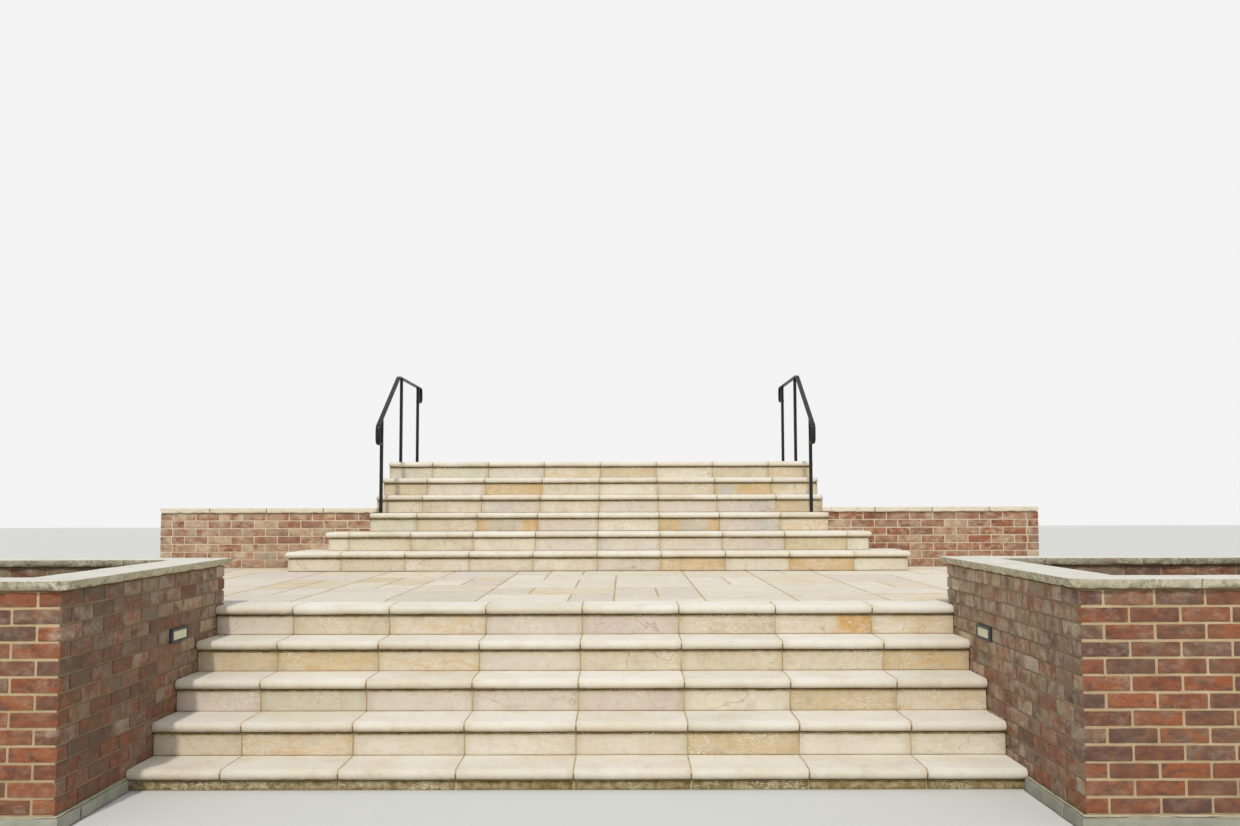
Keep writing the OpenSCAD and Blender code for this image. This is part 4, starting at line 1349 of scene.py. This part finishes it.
def flag_finish():
    material, tree, surface = new_finish("riven paving sandstone", 0.84)
    _, own, look = own_place(tree)
    colour = sandstone(tree, own, look, marked_by(tree, "grime"), 0.0)
    bands = mottle(tree, stretched(tree, own, 1, 5, 1), 3.0, 5.0, 0.6, 1.0)
    bands = ranged(tree, bands, 0.40, 0.66, 0.0, 0.40)
    colour = mixed(tree, bands, colour, (0.800, 0.730, 0.620))
    colour = mixed(tree, 1.0, colour, (1.030, 1.035, 1.040), "MULTIPLY")
    tree.links.new(colour, surface.inputs["Base Color"])
    under = bumped(tree, surface, mottle(tree, own, 200.0, 3.0, 0.7), 0.0007)
    bumped(tree, surface, mottle(tree, stretched(tree, own, 1, 2, 1), 7.0, 5.0, 0.6, 1.0), 0.005, under)
    return material


flag_stone = flag_finish()
FLAG_GAP = 0.007
FLAG_T = 0.030
BED_DOWN = 0.004
# The landing's flags on a grid of 21 by 11, back row first. Cells with the same sign are one flag
LANDING_PLAN = ["aabbccddefggghhijkkkl", "aabbccddefggghhijkkkl", "aammccddnoopphhqqrrss",
                "ttmmuvvwnooppxyqqrrss", "ttzAuBCDEEFGGxyqqrrss", "ttzAHBCDEEFGGxyIIJKLL",
                "MMzAHNOOEEFGGPPIIJKLL", "MMQRSSOOTUUVWPPIIXXYY", "MMQRZZ11TUUVW2233XXYY",
                "4455ZZ11667VW22338899", "4455ZZ1166700##338899"]
# The kinds of the flags that stand out. The others are pale, and duller on the left
FLAG_KINDS = {"U": "u", "B": "m", "1": "g", "Z": "p", "7": "p", "V": "p", "W": "p", "O": "b",
              "S": "p", "z": "n", "A": "m", "5": "v", "T": "g", "D": "v", "8": "u"}
PALE_KINDS = "wcwpcwucwwcb"
DULL_KINDS = "bvmpbgubvbcm"
DULL_SIDE = -1.7
FLAG_SIZES = [(3, 2), (2, 2), (2, 3), (2, 1), (1, 2), (1, 1)]


def lay_flags(heap, xs, ys, top, plan=(), plan_from=0):
    """Flags on a grid of lines xs and ys: first the ones of a plan, then a few sizes at random."""
    nx, ny = len(xs) - 1, len(ys) - 1
    taken = np.zeros((nx, ny), bool)
    spots = {}
    for j, row in enumerate(plan[::-1]):
        for i, sign in enumerate(row):
            spots.setdefault(sign, []).append((i + plan_from, j))
            taken[i + plan_from, j] = True
    for sign, used in spots.items():
        (i, j), (i_end, j_end) = np.min(used, 0), np.max(used, 0) + 1
        lay_flag(heap, (xs[i], ys[j]), (xs[i_end], ys[j_end]), top, FLAG_KINDS.get(sign))
    for j in range(ny):
        for i in range(nx):
            if taken[i, j]:
                continue
            sizes = [FLAG_SIZES[n] for n in flag_dice.permutation(4)] + FLAG_SIZES[4:]
            for w, d in sizes:
                if i + w <= nx and j + d <= ny and not taken[i:i + w, j:j + d].any():
                    break
            taken[i:i + w, j:j + d] = True
            lay_flag(heap, (xs[i], ys[j]), (xs[i + w], ys[j + d]), top)


def lay_flag(heap, a, b, top, kind=None):
    """One flag between two corners of the grid. Without a kind it is dull at the far left, else pale."""
    gap = FLAG_GAP / 2
    low, high = (a[0] + gap, a[1] + gap, top - FLAG_T), (b[0] - gap, b[1] - gap, top)
    stone = block(low, high, 0.003, (0.07, 0.07, UNCUT))
    points, quads, facing = weathered(stone, int(flag_dice.integers(9999)), 0.0030, 0.0012)
    kind = kind or (DULL_KINDS if a[0] < DULL_SIDE else PALE_KINDS)[int(flag_dice.integers(12))]
    edge = (facing[:, 2] < 0.9) * 0.6
    heap.lay((points, quads), 0, kind_look(kind, 0.18), edge)


flag_dice = np.random.default_rng(5)
landing = Heap()
foot_x = WRAP_HALF[1] - NOSING
bed_top = LANDING_Z - BED_DOWN
FLAG_CELL = 0.294
columns = [-TERRACE_X] + [-0.12 + k * FLAG_CELL for k in range(-13, 15)] + [TERRACE_X]
lay_flags(landing, columns, np.linspace(LANDING_EDGE_BACK, upper_y(1), 12), LANDING_Z, LANDING_PLAN, 4)
for sign in SIDES.values():
    side_columns = sorted(sign * np.linspace(foot_x, TERRACE_X, 6))
    lay_flags(landing, side_columns, np.linspace(upper_y(1), LOW_FACE, 3), LANDING_Z)
    beside = sorted(sign * np.linspace(FLIGHT_X, TERRACE_X, 5))
    for a, b in zip(beside[:-1], beside[1:]):
        lay_flag(landing, (a, PLANTER_END), (b, LANDING_EDGE_BACK), LANDING_Z)
    lay_bed(landing, (beside[0], PLANTER_END, CORE_Z), (beside[-1], LANDING_EDGE_BACK, bed_top),
            ease=FINE_EASE)
    lay_bed(landing, (side_columns[0], upper_y(1), CORE_Z), (side_columns[-1], LOW_FACE, bed_top),
            ease=FINE_EASE)
lay_bed(landing, (-TERRACE_X, LANDING_EDGE_BACK, CORE_Z), (TERRACE_X, upper_y(1), bed_top), ease=FINE_EASE)
landing.build("landing_flags", [flag_stone, pointing], "paving", "landing_paving")

top_landing = Heap()
lay_flags(top_landing, np.linspace(-UPPER_X, UPPER_X, 16), np.linspace(TOP_EDGE_BACK, BACK, 7), TOP_Z)
lay_bed(top_landing, (-UPPER_X, TOP_EDGE_BACK, TOP_Z - PAVING_T), (UPPER_X, BACK, TOP_Z - BED_DOWN),
        ease=FINE_EASE)
top_landing.build("top_landing_flags", [flag_stone, pointing], "paving", "top_landing_paving")

# Handrails
# Each handrail is a flat steel bar 45 by 18 mm with a rounded top, bent at its ends and over the top
# step, and welded to three square posts that are set in the stone. It is painted satin black.

RAIL_W = 0.045
RAIL_T = 0.018
POST_S = 0.030
RAIL_X = {"left": -2.135, "right": 2.070}
RAIL_H = 0.910
RAIL_Z = TOP_Z + RAIL_H - RAIL_T / 2
BEND_Y = upper_y(6) + 0.040
SLOPE = RISE / UPPER_GOING
POST_Y = [upper_y(3) + 0.110, upper_y(6) + 0.200, upper_y(6) + 1.220]
RAIL_PAST = 0.190
RAIL_DROP = 0.165
END_BEND = 0.055
TOP_BEND = 0.180
BEADS = 9


def black_finish():
    material, tree, surface = new_finish("satin black paint", 0.38)
    place, _, _ = own_place(tree)
    dust = ranged(tree, mottle(tree, place, 12.0, 3.0), 0.45, 0.75)
    tree.links.new(mixed(tree, times(tree, dust, 0.25), (0.012, 0.012, 0.013), (0.030, 0.029, 0.027)),
                   surface.inputs["Base Color"])
    tree.links.new(ranged(tree, dust, 0, 1, 0.38, 0.50), surface.inputs["Roughness"])
    surface.inputs["Specular IOR Level"].default_value = 0.22
    return material


black_steel = black_finish()


def rail_height(y):
    """The middle of the bar: level over the top landing, and down with the steps in front of the bend."""
    return RAIL_Z - max(0.0, BEND_Y - y) * SLOPE


def bent_line(corners, radii, step=math.radians(3)):
    """Points and directions along a line whose corners are bent to their radii."""
    corners = [np.array(c, float) for c in corners]
    line = [(corners[0], (corners[1] - corners[0]) / np.linalg.norm(corners[1] - corners[0]))]
    for before, corner, after, radius in zip(corners[:-2], corners[1:-1], corners[2:], radii):
        arriving = (corner - before) / np.linalg.norm(corner - before)
        leaving = (after - corner) / np.linalg.norm(after - corner)
        turn = math.acos(float(np.clip(arriving @ leaving, -1, 1)))
        way = math.copysign(1.0, arriving[0] * leaving[1] - arriving[1] * leaving[0])
        start = corner - arriving * radius * math.tan(turn / 2)
        side = np.array([-arriving[1], arriving[0]]) * way
        centre = start + side * radius
        pieces = max(2, math.ceil(turn / step))
        for k in range(pieces + 1):
            a = way * turn * k / pieces
            spin = np.array([[math.cos(a), -math.sin(a)], [math.sin(a), math.cos(a)]])
            line.append((centre + spin @ (start - centre), spin @ arriving))
    last = (corners[-1] - corners[-2]) / np.linalg.norm(corners[-1] - corners[-2])
    line.append((corners[-1], last))
    return line


def swept(line, outline, x):
    """A closed bar: outline is carried along a line of y and z, with its up side square to the line."""
    sections = [[(x + u, at[0] - way[1] * v, at[1] + way[0] * v) for u, v in outline] for at, way in line]
    size = len(outline)
    faces = [[i * size + k, (i + 1) * size + k, (i + 1) * size + (k + 1) % size, i * size + (k + 1) % size]
             for i in range(len(line) - 1) for k in range(size)]
    faces += [list(range(size)), [(len(line) - 1) * size + k for k in range(size)][::-1]]
    return np.array(sections).reshape(-1, 3), faces


def rounded_outline(width, thick, top_r, low_r, pieces):
    """The bar's section: a rectangle with round corners, larger ones at the top than below."""
    outline = []
    for corner in range(4):
        r = top_r if corner < 2 else low_r
        x = (1 if corner in (0, 3) else -1) * (width / 2 - r)
        y = (1 if corner < 2 else -1) * (thick / 2 - r)
        for k in range(pieces + 1):
            a = math.pi / 2 * (corner + k / pieces)
            outline.append((x + r * math.cos(a), y + r * math.sin(a)))
    return outline


front_end, rear_end = POST_Y[0] - RAIL_PAST, POST_Y[2] + RAIL_PAST
rail_corners = [(POST_Y[0] - POST_S / 2, rail_height(front_end) - RAIL_DROP),
                (front_end, rail_height(front_end) - RAIL_DROP), (front_end, rail_height(front_end)),
                (BEND_Y, RAIL_Z), (rear_end, RAIL_Z), (rear_end, RAIL_Z - RAIL_DROP),
                (POST_Y[2] + POST_S / 2, RAIL_Z - RAIL_DROP)]
rail_line = bent_line(rail_corners, [END_BEND, END_BEND, TOP_BEND, END_BEND, END_BEND])
rail_outline = rounded_outline(RAIL_W, RAIL_T, RAIL_T / 2, RAIL_T / 5, 6)

for side, x in RAIL_X.items():
    rail = Heap()
    rail.lay(swept(rail_line, rail_outline, x))
    rail.build(f"{side}_rail_bar", [black_steel], "black_steel", f"{side}_handrail", smooth_under=35)
    posts = Heap()
    half = POST_S / 2
    under = RAIL_T / 2 * math.hypot(1, SLOPE)
    for n, y in enumerate(POST_Y):
        foot = upper_z(3) if n == 0 else TOP_Z
        head = rail_height(y) - (under if n == 0 else RAIL_T / 2) - 0.001
        corner, opposite = (x - half, y - half, foot), (x + half, y + half, head)
        points, quads, _ = block(corner, opposite, 0.002, (0.03, 0.03, 0.2))
        if n == 0:
            near_top = points[:, 2] > head - 0.01
            points[near_top, 2] += (points[near_top, 1] - y) * SLOPE
        posts.lay((points, quads))
        for turned in range(4):
            a = math.pi / 2 * turned
            across = np.array([math.cos(a), math.sin(a)])
            along = np.array([-across[1], across[0]])
            for bead in range(BEADS):
                u, v = across * half + along * ((bead + 0.5) / BEADS * POST_S - half)
                z = head + (v * SLOPE if n == 0 else 0)
                size = POST_S / BEADS * 0.75
                corner = (x + u - size, y + v - size, z - size)
                posts.lay(block(corner, (x + u + size, y + v + size, z + 0.001), size * 0.45, 0.01))
    posts.build(f"{side}_rail_posts", [black_steel], "black_steel", f"{side}_handrail_posts", smooth_under=50)

# Stage
# A plain pale floor under the steps, soft daylight from the front left and above, and the camera
# where the photograph was taken, looking up the steps with a 35 mm lens.

floor_mesh = bpy.data.meshes.new("floor")
reach = 60.0
floor_mesh.from_pydata([(-reach, -reach, 0), (reach, -reach, 0), (reach, reach, 0), (-reach, reach, 0)], [],
                       [[0, 1, 2, 3]])
floor = bpy.data.objects.new("floor", floor_mesh)
bpy.context.scene.collection.objects.link(floor)
floor.location.z = -0.001
floor_finish, tree, surface = new_finish("pale floor", 0.95)
surface.inputs["Base Color"].default_value = (0.68, 0.68, 0.66, 1)
floor_mesh.materials.append(floor_finish)

world = bpy.data.worlds.new("sky")
bpy.context.scene.world = world
world.use_nodes = True
tree = world.node_tree
background = tree.nodes["Background"]
rays = add(tree, "LightPath")
seen = times(tree, times(tree, rays.outputs["Is Camera Ray"], rays.outputs["Is Glossy Ray"], "MAXIMUM"),
             rays.outputs["Is Transmission Ray"], "MAXIMUM")
tree.links.new(mixed(tree, seen, (0.93, 0.97, 1.0), (0.90, 0.90, 0.90)), background.inputs["Color"])
tree.links.new(ranged(tree, seen, 0, 1, 0.56, 1.0), background.inputs["Strength"])

# The sun, and the brighter low sky in front of the steps: where from, how strong, how wide and its colour
LAMPS = {"hazy sun": ((-0.11, -1.0, 1.11), 1.75, 1.5, (1.0, 0.96, 0.88)),
         "low sky": ((0.0, -1.0, 0.30), 0.55, 80.0, (0.94, 0.97, 1.0))}
for name, (towards, strength, width, colour) in LAMPS.items():
    lamp_light = bpy.data.lights.new(name, "SUN")
    lamp_light.energy = strength
    lamp_light.angle = math.radians(width)
    lamp_light.color = colour
    lamp = bpy.data.objects.new(name, lamp_light)
    bpy.context.scene.collection.objects.link(lamp)
    lamp.rotation_mode = "QUATERNION"
    lamp.rotation_quaternion = Vector(towards).to_track_quat("Z", "Y")

camera_data = bpy.data.cameras.new("camera")
camera = bpy.data.objects.new("camera", camera_data)
bpy.context.scene.collection.objects.link(camera)
bpy.context.scene.camera = camera
camera_data.sensor_width = 36.0
camera_data.lens = 34.91
stands_at = (0.2398, -10.0315, 1.4334)
yaw, pitch, roll = -0.0030, 0.0737, -0.0024
ahead = np.array([math.sin(yaw), math.cos(yaw), 0.0])
right = np.array([math.cos(yaw), -math.sin(yaw), 0.0])
forward = ahead * math.cos(pitch) + np.array([0, 0, 1.0]) * math.sin(pitch)
above = -ahead * math.sin(pitch) + np.array([0, 0, 1.0]) * math.cos(pitch)
to_right = right * math.cos(roll) + above * math.sin(roll)
up = -right * math.sin(roll) + above * math.cos(roll)
camera.matrix_world = Matrix([*zip(to_right, up, -forward, stands_at), (0, 0, 0, 1)])
bpy.context.scene.view_settings.view_transform = "Standard"
